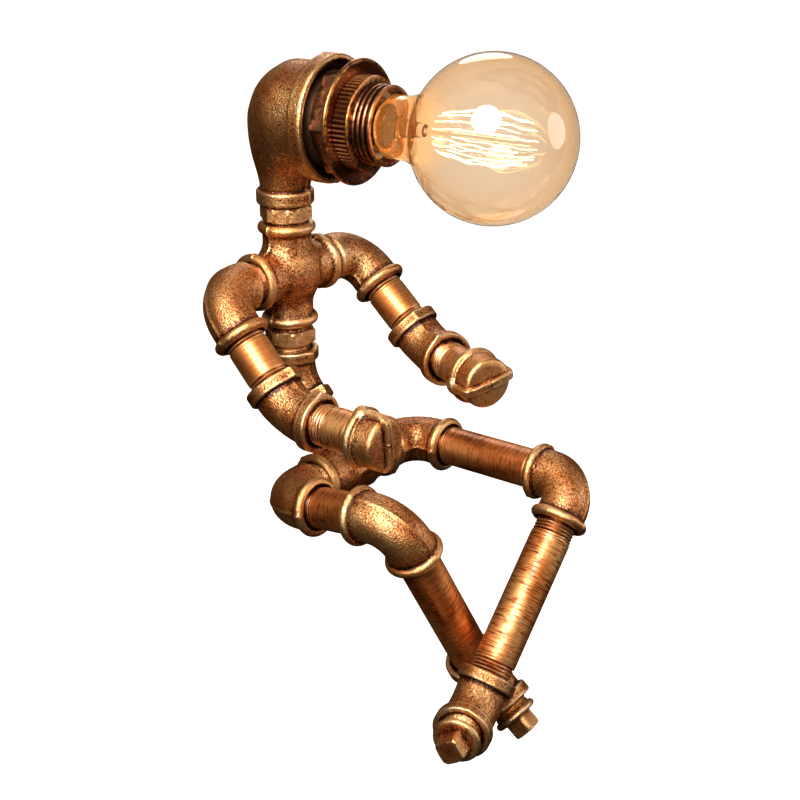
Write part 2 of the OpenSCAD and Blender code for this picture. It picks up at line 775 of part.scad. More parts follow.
// Lead from the neck to the lampholder's contacts
module head_lead()
    color("#2a2622") {
        translate([0, chest_y, chest_z + cross_a + neck_gap + 4])
            cylinder(h = head_rise - 4, d = lead_d);
        translate([0, chest_y, head_z]) sphere(d = lead_d + eps);
        at_bulb_axis() cylinder(h = holder_back + 0.8, d = lead_d);
    }

pelvis_tee();
pelvis_nipple();
waist_elbow();
waist_nipple();
chest_cross();
neck_nipple();
head_elbow();
head_bushing();
holder_shell();
holder_core();
centre_contact();
shade_ring();
bulb_base();
bulb_glass();
bulb_stem();
bulb_filament();
shoulder_elbow(RIGHT, right_arm_swing);  // right_shoulder_elbow
upper_arm(RIGHT, right_arm_swing);  // right_upper_arm
arm_elbow(RIGHT, right_arm_swing, right_forearm_turn);  // right_arm_elbow
forearm(RIGHT, right_arm_swing, right_forearm_turn);  // right_forearm
hand_cap(RIGHT, right_arm_swing, right_forearm_turn);  // right_hand_cap
shoulder_elbow(LEFT, left_arm_swing);  // left_shoulder_elbow
upper_arm(LEFT, left_arm_swing);  // left_upper_arm
arm_elbow(LEFT, left_arm_swing, left_forearm_turn);  // left_arm_elbow
forearm(LEFT, left_arm_swing, left_forearm_turn);  // left_forearm
hand_cap(LEFT, left_arm_swing, left_forearm_turn);  // left_hand_cap
hip_elbow(RIGHT, right_thigh_rise);  // right_hip_elbow
thigh(RIGHT, right_thigh_rise, right_thigh_l);  // right_thigh
knee_elbow(RIGHT, right_thigh_rise, right_thigh_l, right_shin_lean);  // right_knee_elbow
shin(RIGHT, right_thigh_rise, right_thigh_l, right_shin_lean, right_shin_l);  // right_shin
ankle_elbow(RIGHT, right_thigh_rise, right_thigh_l, right_shin_lean, right_shin_l,  // right_ankle_elbow
        right_foot_turn);
foot_plug(RIGHT, right_thigh_rise, right_thigh_l, right_shin_lean, right_shin_l,  // right_foot_plug
        right_foot_turn);
hip_elbow(LEFT, left_thigh_rise);  // left_hip_elbow
thigh(LEFT, left_thigh_rise, left_thigh_l);  // left_thigh
knee_elbow(LEFT, left_thigh_rise, left_thigh_l, left_shin_lean);  // left_knee_elbow
shin(LEFT, left_thigh_rise, left_thigh_l, left_shin_lean, left_shin_l);  // left_shin
ankle_elbow(LEFT, left_thigh_rise, left_thigh_l, left_shin_lean, left_shin_l, left_foot_turn);  // left_ankle_elbow
foot_plug(LEFT, left_thigh_rise, left_thigh_l, left_shin_lean, left_shin_l, left_foot_turn);  // left_foot_plug
inlet_bush();
body_lead();
head_lead();
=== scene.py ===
"""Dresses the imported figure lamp: cast bronze fittings, turned pipes, lampholder and amber bulb.

All sizes are in metres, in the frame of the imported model: +Z up, the figure faces -Y, and its
left side is +X. Each piece is made round its own axis and then carried to its place.
"""

import json
import math
from functools import reduce

import bpy
import numpy as np
from bpy.props import FloatProperty, FloatVectorProperty, IntProperty, PointerProperty
from mathutils import Matrix, Vector


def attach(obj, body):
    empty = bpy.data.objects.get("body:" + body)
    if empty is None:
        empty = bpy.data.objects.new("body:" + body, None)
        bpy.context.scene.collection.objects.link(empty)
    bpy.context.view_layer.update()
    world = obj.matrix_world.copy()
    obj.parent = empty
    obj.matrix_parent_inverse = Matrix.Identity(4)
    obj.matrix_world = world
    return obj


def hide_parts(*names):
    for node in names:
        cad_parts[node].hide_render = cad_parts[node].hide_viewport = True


bl_info = {
    "name": "Pipe Figure Lamp",
    "version": (1, 0, 0),
    "blender": (4, 5, 0),
    "location": "View3D > Sidebar > Figure Lamp",
    "description": "Builds the visible pieces of a seated figure lamp over its packed model",
    "category": "Object",
}

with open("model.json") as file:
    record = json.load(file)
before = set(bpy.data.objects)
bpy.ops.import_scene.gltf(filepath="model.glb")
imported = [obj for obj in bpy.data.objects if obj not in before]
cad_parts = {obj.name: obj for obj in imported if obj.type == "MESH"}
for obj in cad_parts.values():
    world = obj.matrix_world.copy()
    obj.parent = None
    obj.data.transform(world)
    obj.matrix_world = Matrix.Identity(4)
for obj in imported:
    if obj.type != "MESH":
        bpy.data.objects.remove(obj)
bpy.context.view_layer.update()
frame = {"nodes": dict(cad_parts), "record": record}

MM = 0.001
SIDES = {"right": -1, "left": 1}  # which way each side lies along X
ROUND = 96  # corners round a fitting


def length(name, value, text):
    """A length property whose default is given in millimetres."""
    return FloatProperty(name=name, default=value * MM, min=0, unit="LENGTH", precision=5,
                         description=text)


def angle(name, degrees, text):
    return FloatProperty(name=name, default=math.radians(degrees), subtype="ANGLE",
                         description=text)


def colour(name, rgb, text):
    return FloatVectorProperty(name=name, default=rgb, size=3, min=0, max=1, subtype="COLOR",
                               description=text)


# ---------- sizes ----------
class FittingSizes(bpy.types.PropertyGroup):
    pipe_d: length("Pipe diameter", 21.3, "Outer diameter of the pipe")
    bore_d: length("Pipe bore", 15.5, "Bore of pipes and nipples")
    thread_d: length("Thread diameter", 20.9, "Major diameter of the male threads")
    thread_pitch: length("Thread pitch", 1.81, "Distance between two crests")
    thread_depth: length("Thread depth", 0.75, "Depth of the thread")
    engagement: length("Engagement", 10.5, "Length of thread screwed into a fitting")
    socket_d: length("Socket diameter", 21.0, "Inner diameter of a threaded socket")
    socket_depth: length("Socket depth", 11.5, "Depth of a threaded socket")
    mouth_d: length("Mouth diameter", 23.4, "Diameter of the socket's bevelled mouth")
    passage_d: length("Passage", 15.0, "Bore of the passage inside a casting")
    body_d: length("Body diameter", 25.6, "Outer diameter of the cast bodies")
    bead_d: length("Bead diameter", 30.4, "Outer diameter of the rolled beads")
    bead_w: length("Bead width", 5.4, "Width of a rolled bead")
    band_d: length("Band diameter", 30.0, "Outer diameter of the flat bands")
    band_w: length("Band width", 6.4, "Width of a flat band")
    elbow_face: length("Elbow", 25.2, "Centre to face of the 90 degree elbows")
    elbow_bend: length("Elbow bend", 17.0, "Bend radius of the 90 degree elbows")
    street_face: length("Street elbow", 27.3, "Centre to female face of the street elbows")
    street_reach: length("Street reach", 25.6, "Street elbow's centre to the next fitting")
    angle_face: length("45 degree elbow", 19.3, "Centre to face of the 45 degree elbows")
    cross_face: length("Cross", 27.6, "Centre to face of the chest cross")
    tee_face: length("Tee", 28.0, "Centre to face of the pelvis tee")
    hex_flats: length("Hexagon", 24.4, "Width across flats of the hex nipples")
    hex_h: length("Hexagon height", 8.0, "Height of the hexagon on the nipples")
    seam: length("Seam", 0.5, "Height of the parting line on the castings")
    lug: length("Lug", 1.3, "Height of the lugs where the parting line meets a band")


class FigureSizes(bpy.types.PropertyGroup):
    pelvis_z: length("Pelvis height", 15.2, "Height of the pelvis tee above the seat")
    pelvis_gap: length("Pelvis gap", 9.7, "Gap between the tee and the waist elbow")
    waist_gap: length("Waist gap", 14.3, "Gap between the waist elbow and the cross")
    neck_gap: length("Neck gap", 10.4, "Gap between the cross and the head")
    spine: angle("Spine", 45, "Lean of the lower spine")
    upper_arm: length("Upper arm", 25, "Free length of the upper arms")
    forearm: length("Forearm", 23, "Free length of the forearms")
    right_arm_swing: angle("Right arm", 44, "Forward swing of the right upper arm")
    left_arm_swing: angle("Left arm", 49, "Forward swing of the left upper arm")
    right_forearm_turn: angle("Right forearm", 3, "Inward turn of the right forearm")
    left_forearm_turn: angle("Left forearm", 31, "Inward turn of the left forearm")
    right_thigh_rise: angle("Right thigh rise", 8.3, "Rise of the right thigh above level")
    left_thigh_rise: angle("Left thigh rise", 1.4, "Rise of the left thigh above level")
    right_thigh: length("Right thigh", 24.3, "Free length of the right thigh nipple")
    left_thigh: length("Left thigh", 57.3, "Free length of the left thigh pipe")
    right_shin_lean: angle("Right shin lean", 26, "Inward lean of the right shin")
    left_shin_lean: angle("Left shin lean", 45, "Inward lean of the left shin")
    right_shin: length("Right shin", 77.5, "Free length of the right shin pipe")
    left_shin: length("Left shin", 85, "Free length of the left shin pipe")
    right_foot_turn: angle("Right foot", -21, "Turn of the right foot about its shin")
    left_foot_turn: angle("Left foot", 65, "Turn of the left foot about its shin")
    cap_l: length("Cap length", 17, "Length of a hand cap")
    cap_d: length("Cap diameter", 27, "Outer diameter of a hand cap's body")
    cap_rib_w: length("Cap rib width", 4.4, "Width of the rib that runs round a hand cap")
    cap_rib_h: length("Cap rib height", 2.1, "Height of that rib above the body")
    right_cap_turn: angle("Right cap", -81, "Turn of the right hand cap about its forearm")
    left_cap_turn: angle("Left cap", -10, "Turn of the left hand cap about its forearm")
    plug_d: length("Plug flange", 24.6, "Diameter of a foot plug's flange")
    plug_t: length("Plug flange thickness", 3.8, "Thickness of a foot plug's flange")
    plug_gap: length("Plug gap", 3.6, "Length of the plug's thread in view")
    plug_flats: length("Plug square", 12.4, "Width across flats of a plug's square head")
    plug_head: length("Plug head", 9.0, "Length of a plug's square head")


class HeadSizes(bpy.types.PropertyGroup):
    turn: angle("Head turn", 5.5, "Turn of the head to the figure's left")
    rise: length("Head rise", 46.2, "Height of the bulb's axis above the elbow's small end")
    reach: length("Head reach", 35, "Neck's axis to the large face of the head elbow")
    body_d: length("Head body", 55.4, "Outer diameter of the large end")
    bead_d: length("Head bead", 64, "Outer diameter of the large bead")
    bead_w: length("Head bead width", 9, "Width of the large bead")
    back: length("Head back", 13.8, "Neck's axis to the middle of the elbow's round back")
    throat_d: length("Throat", 35, "Diameter of the elbow's throat above the neck")
    throat_drop: length("Throat drop", 13, "Throat's middle below the bulb's axis")
    band_w: length("Neck band", 7, "Width of the flat band at the small end")
    big_thread_d: length("Large thread", 47.8, "Outer diameter of the thread in the large end")
    big_thread_l: length("Large thread length", 15, "Length of the thread in the large end")
    bushing_flats: length("Bushing", 48, "Width across flats of the bushing's hexagon")
    bushing_h: length("Bushing height", 10.5, "Thickness of the bushing's hexagon")
    holder_d: length("Holder", 39.6, "Outer diameter of the holder's thread")
    holder_wall: length("Holder wall", 1.6, "Wall thickness of the holder")
    holder_out: length("Holder reach", 20.8, "Length of the holder outside the bushing")
    holder_in: length("Holder depth", 14, "Depth of the holder inside the bushing")
    holder_pitch: length("Holder pitch", 2.8, "Pitch of the holder's rope thread")
    ring_d: length("Ring flange", 62, "Outer diameter of the shade ring's flange")
    ring_t: length("Ring thickness", 2.6, "Thickness of the flange at its rim")
    collar_d: length("Ring collar", 46.8, "Outer diameter of the ribbed collar")
    ring_l: length("Ring length", 10.4, "Length of the whole shade ring")
    rib_h: length("Rib height", 0.9, "Height of a rib on the collar")
    ribs: IntProperty(name="Ribs", default=60, min=12, description="Ribs round the collar")


class BulbSizes(bpy.types.PropertyGroup):
    globe_d: length("Globe", 80, "Diameter of the glass globe")
    reach: length("Globe reach", 58.9, "Top of the screw base to the middle of the globe")
    wall: length("Glass", 0.8, "Wall thickness of the glass")
    neck_d: length("Neck", 31, "Diameter of the glass neck in the holder's mouth")
    flare_r: length("Flare", 22, "Radius of the flare between neck and globe")
    base_d: length("Base", 26.4, "Outer diameter of the screw base")
    base_sunk: length("Base depth", 2.3, "Depth of the base's top edge in the holder's mouth")
    cage_from: length("Cage start", 31, "Screw base to the filament cage")
    cage_l: length("Cage length", 46, "Length of the filament cage")
    cage_d: length("Cage diameter", 26, "Diameter of the filament cage")
    strand_d: length("Strand", 0.4, "Diameter of a filament strand")
    strands: IntProperty(name="Strands", default=16, min=4, description="Filament strands")


class LampFinish(bpy.types.PropertyGroup):
    gold: colour("Gold", (0.88, 0.49, 0.18), "Rubbed high places of the bronze")
    bronze: colour("Bronze", (0.66, 0.207, 0.045), "Main colour of the bronze")
    # The dark colour is both patina and painted shade in creases, socket mouths and the head's
    # recess
    dark: colour("Dark", (0.095, 0.017, 0.005), "Dark patina in the hollows")
    glass: colour("Glass", (0.81, 0.605, 0.39), "Tint of the amber glass")
    glow: colour("Glow", (1.0, 0.55, 0.18), "Light of the filament")


class StageSettings(bpy.types.PropertyGroup):
    azimuth: angle("Azimuth", -50.97, "Camera's turn about the figure")
    elevation: angle("Elevation", 22.31, "Camera's height angle")
    roll: angle("Roll", -0.35, "Camera's roll")
    place: FloatVectorProperty(name="Camera", default=(-0.5287, -0.4641, 0.3416), size=3,
                               subtype="TRANSLATION", description="Camera's place")
    lens: FloatProperty(name="Lens", default=64.485, unit="CAMERA",
                        description="Focal length on a 36 mm wide sensor")
    floor_z: length("Floor drop", 260, "Depth of the floor below the seat")


# ---------- places ----------
BUSHING_GAP = 0.6 * MM  # between the head's large face and the bushing's hexagon
ANGLE = math.radians(45)  # bend of the banded elbows


def shift(x=0.0, y=0.0, z=0.0):
    return Matrix.Translation((x, y, z))


def turn(axis, radians):
    return Matrix.Rotation(radians, 4, axis)


def quarter(axis, count=1):
    return turn(axis, count * math.pi / 2)


class Places:
    """Where each fitting sits, worked out along the chain of screwed joints."""

    def __init__(self, scene):
        fit, fig = scene.lamp_fittings, scene.lamp_figure
        head, bulb = scene.lamp_head, scene.lamp_bulb
        self.fit, self.fig, self.head, self.bulb = fit, fig, head, bulb
        self.pelvis = shift(z=fig.pelvis_z)
        self.spine = self.pelvis @ turn("X", -fig.spine)
        self.waist = self.spine @ shift(z=fit.tee_face + fig.pelvis_gap + fit.angle_face)
        rise = fit.angle_face + fig.waist_gap + fit.cross_face
        below = self.waist.translation
        self.chest = shift(y=below.y, z=below.z + rise)
        skull = self.chest @ shift(z=fit.cross_face + fig.neck_gap + head.rise)
        self.bulb_axis = skull @ turn("Z", head.turn) @ quarter("X")
        self.bushing_face = head.reach + head.bushing_h + BUSHING_GAP
        self.holder_face = self.bushing_face + head.holder_out
        self.base_top = self.holder_face - bulb.base_sunk

    def own(self, side, name):
        return getattr(self.fig, f"{side}_{name}")

    def shoulder(self, side):
        across = SIDES[side] * (self.fit.cross_face + self.fit.street_reach)
        return self.chest @ shift(x=across) @ turn("X", -self.own(side, "arm_swing"))

    def arm_end(self, side):
        """The arm elbow, with the upper arm's end along +Z."""
        drop = self.fit.street_face + self.fig.upper_arm + self.fit.angle_face
        twist = math.pi - SIDES[side] * self.own(side, "forearm_turn")
        return self.shoulder(side) @ shift(z=-drop) @ turn("Z", twist)

    def forearm(self, side):
        return self.arm_end(side) @ turn("X", ANGLE - math.pi)

    def hip(self, side):
        across = SIDES[side] * (self.fit.tee_face + self.fit.street_reach)
        rise = math.pi / 2 + self.own(side, "thigh_rise")
        return self.pelvis @ shift(x=across) @ turn("X", -rise)

    def knee(self, side):
        drop = self.fit.street_face + self.own(side, "thigh") + self.fit.elbow_face
        lean = SIDES[side] * self.own(side, "shin_lean")
        return self.hip(side) @ shift(z=-drop) @ turn("Z", lean)

    def ankle(self, side):
        drop = self.fit.elbow_face + self.own(side, "shin") + self.fit.angle_face
        twist = SIDES[side] * self.own(side, "foot_turn")
        return self.knee(side) @ quarter("X", -1) @ shift(z=drop) @ turn("Z", twist)

    def street(self, at, side):
        return at @ quarter("Z", SIDES[side]) @ quarter("X", -1)


# ---------- meshes ----------
WEAR_SHADE_BEND = 500.0  # curvature, per metre, that counts as fully worn on a ridge and fully shaded in a crease
WEAR_SHADE_ROUNDS = 3  # how often the curvature is blurred over a mesh's edges
SEAM_W = 0.9 * MM  # distance over which a parting line fades
LUG_W = 2.6 * MM  # distance over which a lug on a band fades


def arc(centre, radius, start, end, steps):
    """Points (d, r) on a round stretch of an outline, with angles in degrees."""
    angles = np.radians(np.linspace(start, end, steps))
    return [(centre[0] + radius * math.cos(a), centre[1] + radius * math.sin(a)) for a in angles]


def ring_faces(rings, corners, closed):
    """Quads between following rings of one loop of corners."""
    last = rings if closed else rings - 1
    ring = np.arange(last)[:, None]
    corner = np.arange(corners)[None, :]
    after = (corner + 1) % corners
    here, there = ring * corners, (ring + 1) % rings * corners
    return np.stack([here + corner, here + after, there + after, there + corner],
                    axis=-1).reshape(-1, 4)


def new_object(name, points, faces, place, sharp=40):
    """A smooth mesh object whose place is in its mesh."""
    mesh = bpy.data.meshes.new(name)
    mesh.from_pydata(points.tolist(), [], [list(map(int, f)) for f in faces])
    return finish_mesh(name, mesh, points, place, sharp)


def finish_mesh(name, mesh, points, place, sharp):
    """Makes the object, after storing its points as they lie round its own axis."""
    attribute = mesh.attributes.new("own_place", "FLOAT_VECTOR", "POINT")
    attribute.data.foreach_set("vector", np.asarray(points, dtype=np.float32).ravel())
    mesh.transform(place)
    mesh.update()
    mesh.shade_smooth()
    mesh.set_sharp_from_angle(angle=math.radians(sharp))
    mark_wear_and_shade(mesh)
    piece = bpy.data.objects.new(name, mesh)
    bpy.context.scene.collection.objects.link(piece)
    return piece


def read(items, name, width=3, kind=np.float32):
    """A value or vector of each item, as an array."""
    values = np.empty(len(items) * width, dtype=kind)
    items.foreach_get(name, values)
    return values.reshape(-1, width) if width > 1 else values


def mark_wear_and_shade(mesh):
    """Stores how far each point stands out: -1 is patina and painted shade, 1 is rubbed wear."""
    points, normals = read(mesh.vertices, "co"), read(mesh.vertices, "normal")
    first, second = read(mesh.edges, "vertices", 2, np.int32).T
    step = points[second] - points[first]
    size = np.maximum((step ** 2).sum(axis=1), 1e-10)
    bend = ((normals[second] - normals[first]) * step).sum(axis=1) / size
    worn = spread(bend, bend, first, second, len(points))
    for _ in range(WEAR_SHADE_ROUNDS):
        worn = 0.5 * worn + 0.5 * spread(worn[second], worn[first], first, second, len(points))
    attribute = mesh.attributes.new("wear", "FLOAT", "POINT")
    attribute.data.foreach_set("value", np.clip(worn / WEAR_SHADE_BEND, -1, 1).astype(np.float32))


def change_wear_and_shade(piece, change):
    """Puts what a function makes of a piece's wear and painted shade in its place."""
    wear = piece.data.attributes["wear"].data
    wear.foreach_set("value", change(read(wear, "value", 1)))
    return piece


def paint_light(piece, more):
    """Paints a whole piece lighter, as if it caught more light; less than 0 paints it darker."""
    return change_wear_and_shade(piece, lambda worn: worn + np.float32(more))


def paint_shade(piece, hollow):
    """Paints shade on the chosen points of a piece, as dark as the deepest crease."""
    return change_wear_and_shade(piece, lambda worn: np.where(hollow, np.float32(-1), worn))


def spread(to_first, to_second, first, second, count):
    """Mean over each point's edges of a value given at the edges' two ends."""
    total = np.bincount(first, to_first, count) + np.bincount(second, to_second, count)
    edges = np.bincount(first, minlength=count) + np.bincount(second, minlength=count)
    return total / np.maximum(edges, 1)


def lumps(points, size, seed):
    """Slow waves over a casting, between about -1 and 1."""
    rng = np.random.default_rng(seed)
    waves = rng.normal(size=(7, 3)) / size
    phases = rng.uniform(0, 2 * math.pi, 7)
    return np.sin(points @ waves.T + phases).sum(axis=1) / 3.5


def outside(points):
    """Rings (travel, radius, is it outside) of a wall's outer side."""
    return [(travel, radius, True) for travel, radius in points]


def inside(points):
    return [(travel, radius, False) for travel, radius in points]


def mouth_inside(fit):
    """Inner side of a female end, from the passage to the face: (depth, radius)."""
    socket, passage, mouth = fit.socket_d / 2, fit.passage_d / 2, fit.mouth_d / 2
    return [(fit.socket_depth, passage), (fit.socket_depth, socket), (6 * MM, socket),
            (mouth - socket, socket), (0.15 * MM, mouth - 0.1 * MM), (0, mouth)]


def bead_outside(fit, root_r):
    """Outer side of a rolled bead, from the face to the body: (depth, radius)."""
    roll = fit.bead_w / 2
    crest = fit.bead_d / 2 - roll
    fillet = 1.1 * MM
    touch = fit.bead_w + fillet * 0.75
    return (arc((roll, crest), roll, 180, 28, 13)
            + arc((touch, root_r + fillet), fillet, -150, -90, 4)
            + [(touch + 1.5 * MM, root_r)])


def band_outside(fit, root_r):
    """Outer side of a flat band, from the face to the body: (depth, radius)."""
    edge, fillet = 1.2 * MM, 0.9 * MM
    top, width = fit.band_d / 2, fit.band_w
    flat = [(depth, top) for depth in np.linspace(edge, width - edge, 8)[1:-1]]
    return ([(0, top - edge - 0.6 * MM)] + arc((edge, top - edge), edge, 180, 90, 6) + flat
            + arc((width - edge, top - edge), edge, 90, 5, 6)
            + arc((width + fillet, root_r + fillet), fillet, 180, 270, 5)
            + [(width + 3 * MM, root_r)])


def threads(start, step, count, thread_r, depth):
    """Crests and roots in turn: (height, radius)."""
    return [(start + i * step, thread_r - (i % 2) * depth) for i in range(count)]


def male_outside(fit, root_r):
    """Outer side of a male end, from its tip to the body: (depth, radius)."""
    thread_r, half_pitch = fit.thread_d / 2, fit.thread_pitch / 2
    shoulder = fit.engagement + 3.2 * MM
    return ([(0, thread_r - fit.thread_depth)]
            + threads(0.3 * MM, half_pitch, int(shoulder / half_pitch), thread_r, fit.thread_depth)
            + [(shoulder, thread_r), (shoulder + 0.4 * MM, root_r - 0.8 * MM),
               (shoulder + 1.2 * MM, root_r)])


def sweep(rings, path, corners=ROUND, shape=None):
    """Points of rings (travel, radius, is it outside) along a path.

    path gives a ring's middle and its two directions from its travel; shape changes the
    radius of an outside ring from its travel, radius and the corners' angles.
    """
    angles = np.linspace(0, 2 * math.pi, corners, endpoint=False)
    points = []
    for travel, radius, is_out in rings:
        middle, across, outward = path(travel)
        radii = np.full(corners, radius)
        if is_out and shape:
            radii = shape(travel, radii, angles)
        points.append(middle + (np.cos(angles) * radii)[:, None] * across
                      + (np.sin(angles) * radii)[:, None] * outward)
    return np.concatenate(points)


def straight_path(travel):
    return np.array([0, 0, travel]), np.array([1.0, 0, 0]), np.array([0, 1.0, 0])


class BendPath:
    """A path from one face of an elbow round to the other, in the YZ plane."""

    def __init__(self, turn_angle, bend_r, first, second):
        self.turn_angle, self.bend_r = turn_angle, bend_r
        self.tangent = bend_r * math.tan(turn_angle / 2)
        self.bend_from = first - self.tangent
        self.total = self.bend_from + bend_r * turn_angle + second - self.tangent

    def __call__(self, travel):
        turned = min(max((travel - self.bend_from) / self.bend_r, 0), self.turn_angle)
        spare = travel - self.bend_from - self.bend_r * turned
        sin, cos = math.sin(turned), math.cos(turned)
        along = np.array([0, sin, -cos])
        outward = np.array([0, -cos, -sin])
        middle = np.array([0, self.bend_r * (1 - cos), self.tangent - self.bend_r * sin])
        return middle + along * spare, np.array([1.0, 0, 0]), outward


def near_seam(angles, radius, width):
    """1 on the two parting lines of a bend and 0 away from them."""
    off = np.minimum(np.abs(angles - math.pi / 2), np.abs(angles - 3 * math.pi / 2))
    return np.exp(-(off * radius / width) ** 2)


def elbow(name, fit, turn_angle, bend_r, faces, ends, place, seed, lug=0.0):
    """An elbow with one arm along +Z and the other towards +Y. Ends are bead, band or male."""
    path = BendPath(turn_angle, bend_r, *faces)
    root, total = fit.body_d / 2, path.total
    outer = {"male": male_outside, "band": band_outside, "bead": bead_outside}
    bore_r = fit.bore_d / 2
    male_bore = [(2 * fit.engagement, bore_r), (0, bore_r)]
    near_in, far_in = [male_bore if end == "male" else mouth_inside(fit) for end in ends]
    near_out, far_out = [outer[end](fit, root) for end in ends]
    start, stop = [-fit.engagement if end == "male" else 0 for end in ends]

    def from_start(points):
        return [(start + d, r) for d, r in points]

    def from_stop(points):
        return [(total - stop - d, r) for d, r in reversed(points)]

    low = start + near_out[-1][0] + 0.8 * MM
    high = total - stop - far_out[-1][0] - 0.8 * MM
    swell = 0.25 * MM
    body = [(low + (high - low) * share, root - swell * math.sin(share * math.pi))
            for share in np.linspace(0, 1, 22)]
    far, near = total - stop - far_in[0][0], start + near_in[0][0]
    passage = [(far + (near - far) * share, fit.passage_d / 2)
               for share in np.linspace(0, 1, 10)[1:-1]]
    rings = inside(from_start(near_in))
    rings += outside(from_start(near_out) + body + from_stop(far_out))
    rings += inside(from_stop(far_in) + passage)

    def shape(travel, radii, angles):
        raised = fit.seam * near_seam(angles, radii[0], SEAM_W)
        for end, depth in zip(ends, (travel, total - travel)):
            if end == "band" and 0 < depth < fit.band_w + 0.3 * MM:
                raised = raised + lug * near_seam(angles, radii[0], LUG_W)
            if end == "male" and depth < 4 * MM:
                raised = 0 * raised
        return radii + raised

    points = sweep(rings, path, shape=shape)
    is_out = np.repeat([ring[2] for ring in rings], ROUND)
    away = points - np.repeat([path(ring[0])[0] for ring in rings], ROUND, axis=0)
    away /= np.maximum(np.linalg.norm(away, axis=1), 1e-6)[:, None]
    points += away * (is_out * lumps(points, 9 * MM, seed) * 0.16 * MM)[:, None]
    # The sockets and the passage inside get painted shade
    return paint_shade(new_object(name, points, ring_faces(len(rings), ROUND, True), place), ~is_out)


# ---------- castings from a distance field ----------
def smooth_least(a, b, blend):
    share = np.clip(0.5 + 0.5 * (b - a) / blend, 0, 1)
    return b + (a - b) * share - blend * share * (1 - share)


def smooth_most(a, b, blend):
    return -smooth_least(-a, -b, blend)


def off_axis(points, direction):
    """How far points lie along a direction through the middle, and how far from its axis."""
    along = points @ direction
    return along, np.linalg.norm(points - along[..., None] * direction, axis=-1)


def ball(points, middle, radius):
    return np.linalg.norm(points - middle, axis=-1) - radius


def rod(points, direction, start, end, radius, rounded=0.0):
    """Distance to a round rod along a direction through the middle."""
    along, out = off_axis(points, direction)
    out = out - radius + rounded
    past = np.abs(along - (start + end) / 2) - (end - start) / 2 + rounded
    corner = np.hypot(np.maximum(out, 0), np.maximum(past, 0))
    return corner + np.minimum(np.maximum(out, past), 0) - rounded


def roll(points, direction, at, ring_r, radius):
    """Distance to a round ring about a direction through the middle."""
    along, out = off_axis(points, direction)
    return np.hypot(out - ring_r, along - at) - radius


def bevel(points, direction, face, radius, depth):
    """Distance to a bevel that widens to a radius at a face."""
    along, out = off_axis(points, direction)
    cone = (out - radius + (face - along)) * math.sqrt(0.5)
    return smooth_most(cone, face - depth - along, 0.1 * MM)


def female_hole(points, direction, face, fit):
    """Distance to a threaded socket, its bevelled mouth and the passage behind it."""
    socket = rod(points, direction, face - fit.socket_depth, face + 4 * MM, fit.socket_d / 2)
    passage = rod(points, direction, 0, face, fit.passage_d / 2)
    mouth = bevel(points, direction, face, fit.mouth_d / 2, 3 * MM)
    return np.minimum.reduce([socket, passage, mouth])


def cast_skin(body, points, across, seam, rise, size, seed):
    """Adds the parting line, where the coordinate across it is 0, and slow unevenness."""
    body = body - seam * np.exp(-(points[..., across] / SEAM_W) ** 2)
    return body - rise * lumps(points.reshape(-1, 3), size, seed).reshape(body.shape)


def surface_net(field, low, high, step):
    """Points and quads on the surface where a field of distances is zero."""
    axes = [np.arange(a, b + step, step) for a, b in zip(low, high)]
    grid = np.stack(np.meshgrid(*axes, indexing="ij"), axis=-1)
    values = field(grid)
    inside = values < 0
    cells = tuple(size - 1 for size in inside.shape)
    total, hits = np.zeros(cells + (3,)), np.zeros(cells)

    def corner(array, at):
        return array[tuple(slice(start, start + size) for start, size in zip(at, cells))]

    # Each cell that the surface cuts gets one point, the mean of its edges' crossings
    for at in np.ndindex(2, 2, 2):
        for axis in range(3):
            if at[axis]:
                continue
            to = tuple(value + (index == axis) for index, value in enumerate(at))
            here, there = corner(values, at), corner(values, to)
            crossed = (here < 0) != (there < 0)
            share = np.where(crossed, here / np.where(crossed, here - there, 1), 0)
            spot = corner(grid, at) + share[..., None] * (corner(grid, to) - corner(grid, at))
            total += spot * crossed[..., None]
            hits += crossed
    active = hits > 0
    number = np.full(cells, -1)
    number[active] = np.arange(active.sum())
    points = total[active] / hits[active][:, None]
    # Each grid edge that the surface cuts gets a quad between the four cells round it
    faces = []
    for axis in range(3):
        other = [index for index in range(3) if index != axis]
        here = np.take(inside, range(inside.shape[axis] - 1), axis=axis)
        there = np.take(inside, range(1, inside.shape[axis]), axis=axis)
        spots = np.argwhere(here != there)
        across = spots[:, other]
        spots = spots[np.all((across > 0) & (across < np.array(cells)[other]), axis=1)]
        quad = []
        for back in ((1, 1), (0, 1), (0, 0), (1, 0)):
            cell = spots.copy()
            cell[:, other] -= back
            quad.append(number[tuple(cell.T)])
        quad = np.stack(quad, axis=1)
        flip = here[tuple(spots.T)] == (axis == 1)
        quad[flip] = quad[flip][:, ::-1]
        faces.append(quad)
    # Steps down the field's slope bring the points onto the surface
    nudge, steps = step * 0.2, 3
    for _ in range(steps):
        slope = np.stack([field(points + nudge * e) - field(points - nudge * e)
                          for e in np.eye(3)], axis=-1) / (2 * nudge)
        size = np.maximum((slope ** 2).sum(axis=1), 0.2)
        points = points - slope * (field(points) / size)[:, None]
    return points, np.concatenate(faces)


